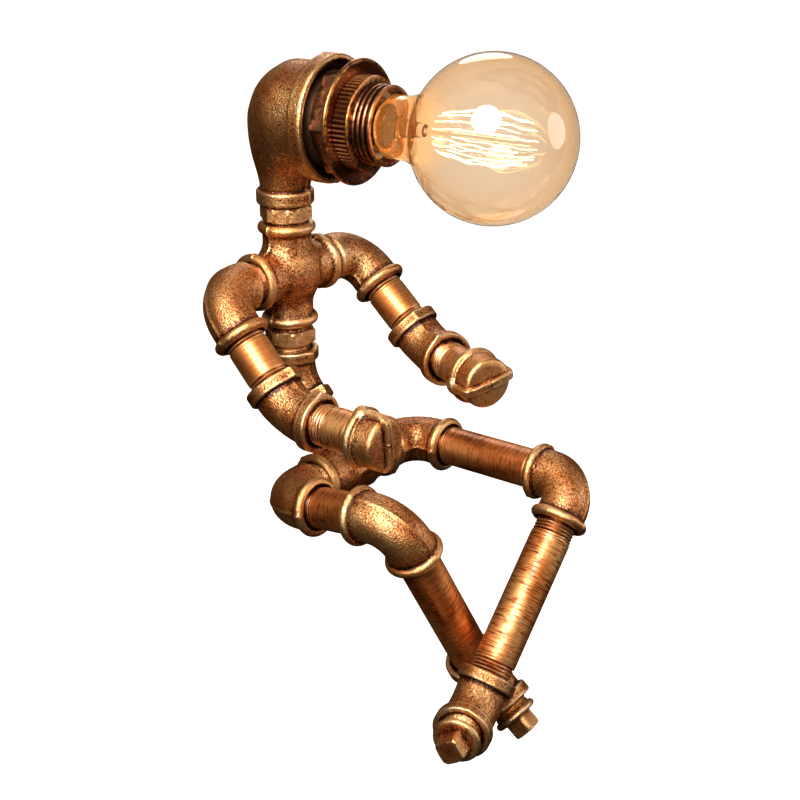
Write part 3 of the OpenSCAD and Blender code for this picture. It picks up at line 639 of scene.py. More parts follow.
def branched_fitting(name, fit, face, directions, place, seed):
    """A tee or cross: beaded arms from one middle, with blended crotches."""
    directions = [np.array(d, dtype=float) for d in directions]
    roll_r = fit.bead_w / 2
    crest = fit.bead_d / 2 - roll_r
    blend, edge = 6 * MM, 0.2 * MM

    def field(points):
        arms = [rod(points, d, -fit.body_d * 0.3, face, fit.body_d / 2) for d in directions]
        body = reduce(lambda a, b: smooth_least(a, b, blend), arms)
        for d in directions:
            bead = roll(points, d, face - roll_r, crest, roll_r)
            rim = rod(points, d, face - fit.bead_w, face, crest)
            body = smooth_least(body, np.minimum(bead, rim), 1.5 * MM)
        body = cast_skin(body, points, 1, fit.seam, 0.18 * MM, 9 * MM, seed)
        for d in directions:
            body = smooth_most(body, points @ d - face, edge)
        holes = np.minimum.reduce([female_hole(points, d, face, fit) for d in directions])
        return smooth_most(body, -holes, edge)

    reach = np.array(directions) * (face + 2 * MM)
    side = fit.bead_d / 2 + 2 * MM
    low, high = np.minimum(reach.min(axis=0), -side), np.maximum(reach.max(axis=0), side)
    points, faces = surface_net(field, low, high, 0.62 * MM)
    # Painted shade inside each socket mouth
    hollow = np.zeros(len(points), dtype=bool)
    for d in directions:
        along, out = off_axis(points, d)
        hollow |= (along > 0) & (out < fit.mouth_d / 2)
    return paint_shade(new_object(name, points, faces, place), hollow)


def head_casting(name, fit, head, place, seed):
    """The reducing elbow: large end along +Z, small end along -Y."""
    forward, down = np.array([0, 0, 1.0]), np.array([0, -1.0, 0])
    throat_back = head.throat_d / 2 + head.back - head.body_d / 2
    throat_at = down * head.throat_drop + forward * throat_back
    recess_r = head.bead_d / 2 - 2.6 * MM
    wall = 4 * MM

    def field(points):
        back = ball(points, forward * head.back, head.body_d / 2)
        barrel = rod(points, forward, head.back, head.reach, head.body_d / 2)
        throat = ball(points, throat_at, head.throat_d / 2)
        neck = rod(points, down, 0, head.rise, fit.body_d / 2)
        rim = rod(points, forward, head.reach - head.bead_w, head.reach, head.bead_d / 2, 1.8 * MM)
        band = rod(points, down, head.rise - head.band_w, head.rise, fit.band_d / 2, 1 * MM)
        lug = fit.lug * 0.8 * np.exp(-(points[..., 0] / LUG_W) ** 2)
        lower = smooth_least(throat, neck, 14 * MM)
        body = smooth_least(np.minimum(back, barrel), lower, 7 * MM)
        body = smooth_least(body, rim, 1.6 * MM)
        body = smooth_least(body, band - lug, 1.2 * MM)
        body = cast_skin(body, points, 0, fit.seam, 0.22 * MM, 12 * MM, seed)
        body = smooth_most(body, points @ forward - head.reach, 0.3 * MM)
        body = smooth_most(body, points @ down - head.rise, 0.2 * MM)
        socket = rod(points, forward, head.reach - head.big_thread_l - 1 * MM,
                     head.reach + 4 * MM, head.big_thread_d / 2 + 0.05 * MM)
        recess = bevel(points, forward, head.reach, recess_r, 6 * MM)
        neck_hole = female_hole(points, down, head.rise, fit)
        holes = np.minimum.reduce([socket, back + wall, recess, neck_hole])
        return smooth_most(body, -holes, 0.3 * MM)

    side = head.bead_d / 2 + 2 * MM
    low = (-side, -head.rise - 2 * MM, head.back - head.body_d / 2 - 6 * MM)
    high = (side, side, head.reach + 2 * MM)
    points, faces = surface_net(field, low, high, 0.8 * MM)
    # Painted shade in the recess round the bushing
    off = np.hypot(points[:, 0], points[:, 1])
    in_recess = (off < recess_r - 0.2 * MM) & (points[:, 2] > head.reach - 7 * MM)
    return paint_shade(new_object(name, points, faces, place), in_recess)


# ---------- turned pieces ----------
def polygon_radius(angles, sides, flats):
    """Radius of a regular polygon at each angle, with a corner at angle 0."""
    part = 2 * math.pi / sides
    off = np.mod(angles, part) - part / 2
    return flats / 2 / np.cos(off)


def lathe(name, rings, place, corners=ROUND, closed=False, shape=None, sharp=40):
    """A turned piece from rings (height, radius, is it outside); open ends are closed flat."""
    points = sweep(rings, straight_path, corners, shape)
    faces = ring_faces(len(rings), corners, closed).tolist()
    if not closed:
        faces.append(list(range(corners))[::-1])
        last = (len(rings) - 1) * corners
        faces.append(list(range(last, last + corners)))
    return new_object(name, points, faces, place, sharp)


def hand_cap(name, fit, fig, place, seed):
    """A pipe cap with its mouth at z = 0 and a rib over its parting line."""
    radius, corner, corners = fig.cap_d / 2, 2.6 * MM, 160
    bore, floor, middle = fit.thread_d / 2 - 1.2 * MM, fig.cap_l - 3.5 * MM, 0.25 * MM
    rings = inside(mouth_inside(fit)[1:])
    rings += outside(bead_outside(fit, radius))
    rings += outside([(height, radius) for height in
                      np.linspace(fit.bead_w + 3.2 * MM, fig.cap_l - corner, 10)])
    rings += outside(arc((fig.cap_l - corner, radius - corner), corner, 90, 0, 7)[1:])
    rings += outside([(fig.cap_l + 0.5 * MM * (1 - (r / radius) ** 2), r) for r in
                      np.linspace(radius - corner - 0.6 * MM, middle, 16)])
    rings += inside([(floor, middle), (floor, bore), (fit.socket_depth, bore)])
    points = sweep(rings, straight_path, corners)
    # The rib stands out along the outline's own normal, near the plane y = 0
    heights, radii, is_out = [np.array(column) for column in zip(*rings)]
    normal_h, normal_r = -np.gradient(radii), np.gradient(heights)
    size = np.maximum(np.hypot(normal_h, normal_r), 1e-9)
    ring_of = np.repeat(np.arange(len(rings)), corners)
    is_out = is_out[ring_of]
    soft = 0.9 * MM
    rise = np.clip((fig.cap_rib_w / 2 + soft / 2 - np.abs(points[:, 1])) / soft, 0, 1)
    rise = rise * rise * (3 - 2 * rise)
    start = np.clip((heights - fit.bead_w * 0.35) / (1.2 * MM), 0, 1)[ring_of]
    over_bead = np.clip(radii - radius, 0, None)[ring_of] * rise * start
    swell = np.maximum(fig.cap_rib_h * rise * start * is_out - over_bead * 0.8, 0)
    # A round lug stands on the bead at one end of the rib
    lug_at = np.array([fit.bead_d / 2 - 1 * MM, 0, fit.bead_w * 0.75])
    off = np.linalg.norm(points - lug_at, axis=1) / (5.2 * MM)
    swell = np.maximum(swell, 1.9 * MM * np.clip(1 - off ** 2, 0, 1) * is_out)
    swell += is_out * lumps(points, 8 * MM, seed) * 0.14 * MM
    angles = np.linspace(0, 2 * math.pi, corners, endpoint=False)
    out_r = np.tile(np.stack([np.cos(angles), np.sin(angles)], axis=1), (len(rings), 1))
    points[:, :2] += out_r * (swell * (normal_r / size)[ring_of])[:, None]
    points[:, 2] += swell * (normal_h / size)[ring_of]
    # Painted shade inside the cap's socket
    return paint_shade(new_object(name, points, ring_faces(len(rings), corners, True), place), ~is_out)


def foot_plug(name, fit, fig, place):
    """A square-headed plug whose thread starts in the fitting below z = 0."""
    thread_r, half_pitch = fit.thread_d / 2, fit.thread_pitch / 2
    flange, edge = fig.plug_d / 2, fig.plug_t / 2
    count = int((fig.plug_gap + 3 * MM) / half_pitch)
    top = fig.plug_gap + fig.plug_t
    end = top + fig.plug_head
    corner = fig.plug_flats * 0.62
    tip = corner - 1.6 * MM
    rings = inside([(-fit.engagement + 1 * MM, thread_r)]
                   + threads(fig.plug_gap - count * half_pitch, half_pitch, count, thread_r,
                             fit.thread_depth)
                   + arc((fig.plug_gap + edge, flange - edge), edge, 200, -20, 12))
    rings += outside([(top - 0.2 * MM, corner + 1.2 * MM), (top + 0.5 * MM, corner),
                      (top + 1.2 * MM, corner), (end - 1.1 * MM, corner),
                      (end - 0.3 * MM, corner - 0.6 * MM), (end, tip)])
    rings += outside([(end, tip * share) for share in (0.85, 0.6, 0.3, 0.05)])

    def square(height, radii, angles):
        taper = 0.35 * MM * (height - top) / fig.plug_head
        return np.minimum(radii, polygon_radius(angles, 4, fig.plug_flats) - taper)

    return lathe(name, rings, place, shape=square, sharp=35)


def hexagon(name, flats, base, height, edge, trims, ends, place):
    """A hexagon whose corners are rounded off, with rings inside it below and above.

    trims says how far its face lies in, how far its edge stands out and how much each
    corner loses.
    """
    face, brow = flats / 2 - trims[0], flats / 2 + trims[1]
    corner = flats / 2 / math.cos(math.pi / 6) - trims[2]
    top = base + height
    rings = inside(ends[0]) + outside([
        (base, face), (base + edge * 0.4, brow), (base + edge, corner),
        (base + height / 2, corner), (top - edge, corner), (top - edge * 0.4, brow),
        (top, face)]) + inside(ends[1])

    def six_sided(travel, radii, angles):
        return np.minimum(radii, polygon_radius(angles, 6, flats))

    return lathe(name, rings, place, corners=120, closed=True, shape=six_sided, sharp=30)


# ---------- nodes ----------
class Value:
    """A node's output. Sums of values make math nodes."""

    def __init__(self, make, socket):
        self.make, self.socket = make, socket

    def absolute(self):
        return self.make.math("ABSOLUTE", self)

    def limited(self):
        """The value held between 0 and 1."""
        return self.make.math("MINIMUM", self.make.math("MAXIMUM", self, 0.0), 1.0)


def sum_of(operation, swapped):
    def work_out(self, other):
        return self.make.math(operation, *((other, self) if swapped else (self, other)))
    return work_out


for sign, operation in (("add", "ADD"), ("sub", "SUBTRACT"), ("mul", "MULTIPLY"),
                        ("truediv", "DIVIDE")):
    setattr(Value, f"__{sign}__", sum_of(operation, False))
    setattr(Value, f"__r{sign}__", sum_of(operation, True))


def grey(value):
    return (value, value, value)


class TreeMaker:
    """Adds nodes to a tree, and links or sets their inputs."""

    def __init__(self, tree):
        self.tree = tree

    def plug(self, socket, value):
        """Links an input to a value, or sets it. A colour is given without its alpha."""
        value = getattr(value, "socket", value)
        if isinstance(value, bpy.types.NodeSocket):
            self.tree.links.new(value, socket)
        elif socket.type == "RGBA":
            socket.default_value = (*value, 1.0)
        else:
            socket.default_value = value

    def feed(self, node, **inputs):
        for name, value in inputs.items():
            self.plug(node.inputs[name.replace("_", " ")], value)
        return node

    def add(self, kind, settings=None, **inputs):
        node = self.tree.nodes.new(kind)
        for name, value in (settings or {}).items():
            setattr(node, name, value)
        return self.feed(node, **inputs)

    def out(self, kind, output=0, settings=None, **inputs):
        """An output of a new node."""
        return Value(self, self.add(kind, settings, **inputs).outputs[output])

    def math(self, operation, *values):
        node = self.add("ShaderNodeMath", {"operation": operation})
        for socket, value in zip(node.inputs, values):
            self.plug(socket, value)
        return Value(self, node.outputs[0])

    def xyz(self, x, y, z):
        return self.out("ShaderNodeCombineXYZ", X=x, Y=y, Z=z)

    def split(self, vector):
        """The three parts of a vector."""
        node = self.add("ShaderNodeSeparateXYZ", Vector=vector)
        return [Value(self, output) for output in node.outputs]

    def ramp(self, value, *stops):
        """A colour from stops (place, colour)."""
        node = self.add("ShaderNodeValToRGB", Fac=value)
        elements = node.color_ramp.elements
        while len(elements) < len(stops):
            elements.new(0.5)
        for element, (place, tint) in zip(elements, stops):
            element.position = place
            element.color = (*tint, 1.0)
        return Value(self, node.outputs[0])

    def mix(self, kind, share, first, second):
        node = self.add("ShaderNodeMix", {"data_type": "RGBA", "blend_type": kind})
        for index, value in ((0, share), (6, first), (7, second)):
            self.plug(node.inputs[index], value)
        return Value(self, node.outputs[2])


# ---------- geometry nodes ----------
def geometry_tree(name, sizes, count):
    """A tree with named inputs; returns the tree, its maker and its inputs by name."""
    tree = bpy.data.node_groups.new(name, "GeometryNodeTree")
    kinds = [(size, "NodeSocketFloat") for size in sizes]
    for title, kind in kinds + [(count, "NodeSocketInt"), ("Material", "NodeSocketMaterial")]:
        tree.interface.new_socket(title, in_out="INPUT", socket_type=kind)
    tree.interface.new_socket("Geometry", in_out="OUTPUT", socket_type="NodeSocketGeometry")
    make = TreeMaker(tree)
    given = tree.nodes.new("NodeGroupInput").outputs
    return tree, make, {socket.name: Value(make, socket) for socket in given if socket.name}


def close_tree(make, geometry, material):
    """Ends a tree in Realize Instances and Set Material."""
    real = make.out("GeometryNodeRealizeInstances", Geometry=geometry)
    painted = make.out("GeometryNodeSetMaterial", Geometry=real, Material=material)
    make.add("NodeGroupOutput", Geometry=painted)


def grown(name, tree, values, place):
    """The plain mesh object that a tree makes with the given inputs, carried to its place."""
    holder = bpy.data.objects.new(name + "_maker", bpy.data.meshes.new(name + "_maker"))
    bpy.context.scene.collection.objects.link(holder)
    modifier = holder.modifiers.new("grow", "NODES")
    modifier.node_group = tree
    sockets = {item.name: item.identifier for item in tree.interface.items_tree
               if item.in_out == "INPUT"}
    for title, value in values.items():
        modifier[sockets[title]] = value
    depsgraph = bpy.context.evaluated_depsgraph_get()
    mesh = bpy.data.meshes.new_from_object(holder.evaluated_get(depsgraph), depsgraph=depsgraph)
    holder.modifiers.clear()
    bpy.data.objects.remove(holder)
    return finish_mesh(name, mesh, read(mesh.vertices, "co"), place, 40)


def pipe_tree():
    """A pipe along +Z with a cut thread at each end, free between z = 0 and its length."""
    tree, make, size = geometry_tree("Threaded pipe", (
        "Radius", "Bore", "Length", "Engagement", "Near Thread", "Far Thread", "Thread Radius",
        "Pitch", "Depth"), "Rows")
    x, y, _ = make.split(make.out("GeometryNodeInputPosition"))
    turned, share = (x + 0.5) * (2 * math.pi), y + 0.5
    step = 1.0 / (size["Rows"] - 1.0)
    whole = size["Length"] + 2.0 * size["Engagement"]
    # The first and last rows fold in to the bore, and the rows between run along the pipe
    run = ((share - step) / (1.0 - 2.0 * step)).limited()
    height = run * whole - size["Engagement"]
    folded = make.math("GREATER_THAN", y.absolute(), 0.4999)
    # The thread is cut near both ends and fades out over one pitch. Whole turns keep its
    # phase above 0
    turns = 40.0
    near = size["Near Thread"] - height
    far = height - (size["Length"] - size["Far Thread"])
    cut = (make.math("MAXIMUM", near, far) / size["Pitch"]).limited()
    phase = make.math("FRACT", height / size["Pitch"] + (turns + turned / (-2 * math.pi)))
    wave = (((phase * 2.0 - 1.0).absolute() - 0.12) * 1.2).limited()
    drop = cut * (size["Radius"] - size["Thread Radius"] + wave * size["Depth"])
    radius = (size["Radius"] - drop) * (1.0 - folded) + size["Bore"] * folded

    def rolled(rows, radius, height):
        """A sheet rolled up round the pipe's axis."""
        sheet = make.out("GeometryNodeMeshGrid", Size_X=1.0, Size_Y=1.0, Vertices_X=ROUND + 1,
                         Vertices_Y=rows)
        spot = make.xyz(radius * make.math("COSINE", turned),
                        radius * make.math("SINE", turned), height)
        return make.out("GeometryNodeSetPosition", Geometry=sheet, Position=spot)

    # The bore's wall joins the two folded ends
    lining = rolled(2, size["Bore"], share * whole - size["Engagement"])
    both = make.add("GeometryNodeJoinGeometry",
                    Geometry=make.out("GeometryNodeFlipFaces", Mesh=lining))
    make.feed(both, Geometry=rolled(size["Rows"], radius, height))
    welded = make.out("GeometryNodeMergeByDistance", Geometry=both.outputs[0], Distance=0.00002)
    close_tree(make, welded, size["Material"])
    return tree


def set_round(make, size, piece, lean=0.0):
    """Instances of a piece round the axis, each turned to face outward."""
    ring = make.out("GeometryNodeMeshCircle", 0, {"fill_type": "NONE"},
                    Vertices=size["Count"], Radius=size["Radius"])
    x, y, _ = make.split(make.out("GeometryNodeInputPosition"))
    return make.out("GeometryNodeInstanceOnPoints", Points=ring, Instance=piece,
                    Rotation=make.xyz(lean, 0.0, make.math("ARCTAN2", y, x)))


def ribs_tree():
    """Equal ribs round a collar, each a bar along +Z."""
    tree, make, size = geometry_tree("Ribs round a collar",
                                     ("Radius", "Height", "Width", "Length"), "Count")
    bar = make.out("GeometryNodeMeshCylinder", "Mesh", Vertices=10, Side_Segments=1,
                   Radius=size["Width"] * 0.5, Depth=size["Length"])
    flat = make.out("GeometryNodeTransform", Geometry=bar,
                    Scale=make.xyz(size["Height"] * 2.0 / size["Width"], 1.0, 1.0))
    close_tree(make, set_round(make, size, flat), size["Material"])
    return tree


def filament_tree():
    """A cage of bowed strands, each a thin wire, round the bulb's axis."""
    tree, make, size = geometry_tree("Filament cage",
                                     ("Radius", "Length", "Waist", "Thickness"), "Count")
    line = make.out("GeometryNodeCurvePrimitiveLine", End=make.xyz(0.0, 0.0, size["Length"]))
    fine = make.out("GeometryNodeResampleCurve", Curve=line, Count=24)
    share = make.split(make.out("GeometryNodeInputPosition"))[2] / size["Length"]
    bow = make.math("SINE", share * math.pi) * size["Waist"]
    ripple = make.math("SINE", share * 21.0) * (0.35 * MM)
    bowed = make.out("GeometryNodeSetPosition", Geometry=fine,
                     Offset=make.xyz(bow + ripple, ripple, 0.0))
    # Each strand leans its own way a little, as fine wire does
    most = 0.05
    lean = make.add("FunctionNodeRandomValue", {"data_type": "FLOAT"}, Seed=7)
    lean.inputs[2].default_value, lean.inputs[3].default_value = -most, most
    real = make.out("GeometryNodeRealizeInstances",
                    Geometry=set_round(make, size, bowed, lean.outputs[1]))
    section = make.out("GeometryNodeCurvePrimitiveCircle", Resolution=8,
                       Radius=size["Thickness"] * 0.5)
    wires = make.out("GeometryNodeCurveToMesh", Curve=real, Profile_Curve=section,
                     Fill_Caps=True)
    close_tree(make, wires, size["Material"])
    return tree


# ---------- materials ----------
PALE_GOLD = (0.93, 0.68, 0.40)  # metal rubbed bare


class Paint(TreeMaker):
    """Makes the nodes of a new material round its shader."""

    def __init__(self, name):
        self.material = bpy.data.materials.new(name)
        self.material.use_nodes = True
        super().__init__(self.material.node_tree)
        self.shader = self.tree.nodes["Principled BSDF"]
        self.colours = bpy.context.scene.lamp_finish

    def spot(self):
        return self.out("ShaderNodeTexCoord", "Object")

    def wear(self):
        return self.out("ShaderNodeAttribute", "Fac", {"attribute_name": "wear"})

    def own_place(self):
        return self.out("ShaderNodeAttribute", "Vector", {"attribute_name": "own_place"})

    def noise(self, vector, scale, detail=4.0, rough=0.6):
        return self.out("ShaderNodeTexNoise", Vector=vector, Scale=scale, Detail=detail,
                        Roughness=rough)

    def stretched(self, vector, along):
        """A place whose height is scaled, for marks longer or shorter along a pipe."""
        return self.out("ShaderNodeMapping", Vector=vector, Scale=(1.0, 1.0, along))

    def greys(self, value, low, high):
        """A number that a ramp takes from one (place, value) to another."""
        return self.ramp(value, (low[0], grey(low[1])), (high[0], grey(high[1])))

    def bronze_tones(self, tone):
        """Colours from dark patina and painted shade in the hollows to rubbed metal."""
        colours = self.colours
        return self.ramp(tone, (0.30, tuple(colours.dark)), (0.50, tuple(colours.bronze)),
                         (0.72, tuple(colours.gold)), (0.95, PALE_GOLD))

    def bump(self, height, strength, distance):
        bump = self.out("ShaderNodeBump", Height=height, Strength=strength, Distance=distance)
        self.feed(self.shader, Normal=bump)
        return bump

    def lacquer(self, bump):
        """A clear coat, whose highlights are paler than the metal's own."""
        self.feed(self.shader, Coat_Normal=bump, Coat_Weight=0.45, Coat_Roughness=0.22,
                  Coat_IOR=1.6)

    def finished(self, **inputs):
        """The material, with these inputs of its shader linked or set."""
        self.feed(self.shader, **inputs)
        return self.material


def cast_bronze(name):
    """Stippled bronze: dark pits in gold, rubbed brighter on edges, patina and painted shade in
    hollows.
    """
    paint = Paint(name)
    spot, wear = paint.spot(), paint.wear()
    clouds = paint.noise(spot, 55.0, 4.0, 0.62)
    grain = paint.noise(spot, 1300.0, 3.0, 0.6)
    # Winding hollows, as a skin of poured metal has
    swirl = paint.noise(spot, 560.0, 3.0, 0.55)
    ridge = paint.math("MINIMUM", (swirl - 0.5).absolute() * 4.5, 1.0)
    # Ridges rub the metal brighter; creases and shaded mouths sink it into painted shade and
    # deeper pits
    depth = ridge * 0.42 + grain * 0.9 + wear * 0.38
    base = paint.bronze_tones(clouds * 0.8 + depth * 0.26 + 0.04 + wear * 0.20)
    specks = paint.ramp(depth, (0.45, (0.05, 0.014, 0.006)), (0.55, (0.72, 0.62, 0.56)),
                        (0.64, grey(1.0)))
    paint.lacquer(paint.bump(depth, 0.5, 0.0006))
    return paint.finished(Base_Color=paint.mix("MULTIPLY", 0.92, base, specks), Metallic=1.0,
                          Roughness=paint.greys(depth, (0.42, 0.6), (0.75, 0.36)))


def turned_bronze(name, worn=0.0, shade=0.0):
    """Bronze brushed round the pipe, with dark streaks across it that wear away."""
    paint = Paint(name)
    own, wear = paint.own_place(), paint.wear()
    streaks = paint.noise(paint.stretched(own, 10.0), 140.0, 3.0)
    blotches = paint.noise(paint.stretched(own, 0.4), 80.0)
    streak_share, blotch_share = 0.60 * (1 - worn), 0.9 - 0.4 * worn
    level = 0.56 - shade - 0.5 * (streak_share + blotch_share)
    # Rubbed ridges raise the tone; creases and the shaded thread ends lower it as painted shade
    base = paint.bronze_tones(blotches * blotch_share + streaks * streak_share + level
                              + wear * 0.25)
    nicks = paint.ramp(streaks, (0.36, (0.22, 0.09, 0.045)), (0.50, grey(1.0)))
    paint.lacquer(paint.bump(streaks, 0.4 - 0.25 * worn, 0.0003))
    return paint.finished(Base_Color=paint.mix("MULTIPLY", 0.85 * (1 - worn), base, nicks),
                          Roughness=paint.greys(streaks, (0.3, 0.60), (0.7, 0.42)),
                          Metallic=1.0)


def dark_brass(name, tint, pale):
    """Brown plated brass with rubbed edges, and patina and painted shade in its creases."""
    paint = Paint(name)
    grain = paint.noise(paint.spot(), 420.0)
    paint.bump(grain, 0.3, 0.0002)
    base = paint.ramp(grain + paint.wear() * 0.35, (0.34, tuple(paint.colours.dark)),
                      (0.60, tint), (0.95, pale))
    return paint.finished(Base_Color=base, Metallic=1.0,
                          Roughness=paint.greys(grain, (0.3, 0.45), (0.7, 0.28)))


def amber_glass(name):
    """Tinted glass, paler in the middle of the globe, with painted light and reflection at its
    neck.
    """
    paint = Paint(name)
    places = Places(bpy.context.scene)
    facing = paint.out("ShaderNodeLayerWeight", "Facing", Blend=0.45)
    body = paint.ramp(facing, (0.0, (0.83, 0.72, 0.595)), (0.6, tuple(paint.colours.glass)),
                      (1.0, (0.80, 0.55, 0.33)))
    up = paint.split(paint.own_place())[2]
    # Painted light and reflection of the filament and brass base, fading out up the globe
    neck_light = paint.greys((up - places.base_top) / places.bulb.reach, (0.22, 1.0), (0.44, 0.0))
    # Painted light: the neck glows a little, standing in for the light of the nearby filament
    glow = paint.mix("MIX", neck_light, grey(0.0), (0.11, 0.042, 0.010))
    waves = paint.noise(paint.spot(), 60.0, 2.0)
    paint.bump(waves, 0.05, 0.001)
    return paint.finished(Base_Color=paint.mix("MIX", neck_light, body, (1.0, 0.74, 0.42)),
                          Emission_Color=glow, Emission_Strength=1.0, IOR=1.45,
                          Transmission_Weight=1.0,
                          Roughness=paint.greys(waves, (0.3, 0.0), (0.8, 0.03)))


def glowing_wire(name):
    """Wire that gives light, paler where it flickers."""
    paint = Paint(name)
    tint = paint.ramp(paint.noise(paint.spot(), 90.0, 2.0), (0.3, tuple(paint.colours.glow)),
                      (0.6, (1.0, 0.80, 0.45)))
    return paint.finished(Base_Color=tint, Emission_Color=tint, Emission_Strength=12.0)


def plain_finish(name, low, high, rough, scale=300.0, metallic=0.0, transmission=0.0,
                 ior=1.5):
    """A finish for small hidden pieces, with a little cloudiness and grain."""
    paint = Paint(name)
    grain = paint.noise(paint.spot(), scale)
    return paint.finished(Base_Color=paint.ramp(grain, (0.3, low), (0.7, high)), IOR=ior,
                          Roughness=paint.greys(grain, (0.3, rough), (0.7, rough * 0.8)),
                          Metallic=metallic, Transmission_Weight=transmission)


FINISHES = {  # the function that makes each finish, and what it is told
    "cast_bronze": (cast_bronze,),
    "turned_bronze": (turned_bronze,),
    "stained_bronze": (turned_bronze, 0.3, 0.07),
    "satin_bronze": (turned_bronze, 0.75),
    "holder_brass": (dark_brass, (0.17, 0.065, 0.035), (0.80, 0.38, 0.18)),
    "ring_bronze": (dark_brass, (0.085, 0.034, 0.015), (0.90, 0.42, 0.15)),
    "bushing_bronze": (dark_brass, (0.27, 0.135, 0.075), (0.70, 0.40, 0.20)),
    "amber_glass": (amber_glass,),
    "clear_glass": (plain_finish, (0.95, 0.85, 0.7), (1, 1, 1), 0.04, 90.0, 0.0, 1.0, 1.1),
    "glowing_wire": (glowing_wire,),
    "ceramic": (plain_finish, (0.62, 0.57, 0.47), (0.78, 0.74, 0.66), 0.2, 120.0),
    "black_rubber": (plain_finish, (0.012, 0.012, 0.012), (0.03, 0.028, 0.026), 0.6, 500.0),
    "contact_brass": (plain_finish, (0.55, 0.36, 0.12), (0.8, 0.58, 0.25), 0.3, 400.0, 1.0),
}
MADE = {}  # finishes already made, by name


def finish_named(name):
    """The finish of that name, made once."""
    if name not in MADE:
        make, *told = FINISHES[name]
        MADE[name] = make(name, *told)
    return MADE[name]


def wear_material(piece, material):
    piece.data.materials.clear()
    piece.data.materials.append(material)


def body_of_node(node):
    for body, nodes in frame["record"]["behaviour"]["bodies"].items():
        if node in nodes:
            return body
    raise RuntimeError(f"no body holds {node}")


def dress(piece, node, finish):
    """Gives a piece its finish, and the body of a node."""
    wear_material(piece, finish_named(finish))
    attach(piece, body_of_node(node))


def put_on(piece, node, finish="cast_bronze"):
    """Dresses a piece and puts it in the place of a node."""
    dress(piece, node, finish)
    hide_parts(node)


# ---------- operators ----------
class LAMP_OT_spine(bpy.types.Operator):
    """Make the pelvis tee, the waist elbow and the chest cross"""
    bl_idname = "lamp.spine"
    bl_label = "Spine castings"

    def execute(self, context):
        places = Places(context.scene)
        fit = places.fit
        arms = [(1, 0, 0), (-1, 0, 0), (0, 0, 1)]
        put_on(branched_fitting("pelvis_casting", fit, fit.tee_face, arms, places.spine, 11),
               "pelvis_tee")
        put_on(branched_fitting("chest_casting", fit, fit.cross_face, arms + [(0, 0, -1)],
                                places.chest, 12), "chest_cross")
        put_on(angle_elbow("waist_casting", fit, places.waist @ quarter("X", 2), 13, fit.lug),
               "waist_elbow")
        return {"FINISHED"}


def angle_elbow(name, fit, place, seed, lug):
    bend = (fit.angle_face - fit.band_w + 1 * MM) / math.tan(ANGLE / 2)
    return elbow(name, fit, ANGLE, bend, (fit.angle_face, fit.angle_face), ("band", "band"),
                 place, seed, lug)


class LAMP_OT_elbows(bpy.types.Operator):
    """Make the shoulder, arm, hip, knee and ankle elbows"""
    bl_idname = "lamp.elbows"
    bl_label = "Elbows"

    def execute(self, context):
        places = Places(context.scene)
        fit = places.fit
        right_angle = (fit, math.pi / 2, fit.elbow_bend)
        street = (*right_angle, (fit.street_reach, fit.street_face), ("male", "bead"))
        equal = (*right_angle, (fit.elbow_face, fit.elbow_face), ("bead", "bead"))
        for side, seed in (("right", 20), ("left", 40)):
            for joint, number, sizes, at in (
                    ("shoulder", 0, street, places.street(places.shoulder(side), side)),
                    ("hip", 1, street, places.street(places.hip(side), side)),
                    ("knee", 3, equal, places.knee(side))):
                put_on(elbow(f"{side}_{joint}_casting", *sizes, at, seed + number),
                       f"{side}_{joint}_elbow")
            put_on(angle_elbow(f"{side}_arm_casting", fit, places.arm_end(side), seed + 4,
                               fit.lug), f"{side}_arm_elbow")
            # The ankles pass close to each other, so their bands have no lugs
            bent = places.ankle(side) @ quarter("Z", 2) @ quarter("X", 2)
            put_on(angle_elbow(f"{side}_ankle_casting", fit, bent, seed + 5, 0.0),
                   f"{side}_ankle_elbow")
        return {"FINISHED"}


class LAMP_OT_pipes(bpy.types.Operator):
    """Make the threaded pipes of the spine, arms and legs"""
    bl_idname = "lamp.pipes"
    bl_label = "Threaded pipes"

    def execute(self, context):
        places = Places(context.scene)
        fit, fig = places.fit, places.fig
        tree = pipe_tree()
        row_h, shaded_end = 0.3 * MM, 0.7 * MM
        # Each pipe: place, free length, lengths of thread in view in millimetres, finish
        pipes = {"pelvis_nipple": (places.spine @ shift(z=fit.tee_face), fig.pelvis_gap, 9, 9,
                                   "turned_bronze")}
        shins = {"right": (4, 5, "stained_bronze"), "left": (8.5, 8.5, "turned_bronze")}
        for side in SIDES:
            thigh = places.own(side, "thigh")
            pipes[f"{side}_upper_arm"] = (
                places.shoulder(side) @ shift(z=-fit.street_face - fig.upper_arm),
                fig.upper_arm, 4.2, 4.2, "satin_bronze")
            pipes[f"{side}_forearm"] = (places.forearm(side) @ shift(z=fit.angle_face),
                                        fig.forearm, 9, 2, "turned_bronze")
            pipes[f"{side}_thigh"] = (places.hip(side) @ shift(z=-fit.street_face - thigh),
                                      thigh, 2, 2.5, "stained_bronze")
            pipes[f"{side}_shin"] = (
                places.knee(side) @ quarter("X", -1) @ shift(z=fit.elbow_face),
                places.own(side, "shin"), *shins[side])
        for node, (at, free, near, far, finish) in pipes.items():
            whole = free + 2 * fit.engagement
            pipe = grown(node + "_pipe", tree, {
                "Radius": fit.pipe_d / 2, "Bore": fit.bore_d / 2, "Length": free,
                "Engagement": fit.engagement, "Near Thread": near * MM, "Far Thread": far * MM,
                "Thread Radius": fit.thread_d / 2, "Pitch": fit.thread_pitch,
                "Depth": fit.thread_depth, "Rows": int(whole / row_h),
                "Material": finish_named(finish)}, at)
            # Painted shade on the thread inside the fittings and just outside their faces
            height = read(pipe.data.attributes["own_place"].data, "vector")[:, 2]
            paint_shade(pipe, (height < shaded_end) | (height > free - shaded_end))
            put_on(pipe, node, finish)
        return {"FINISHED"}


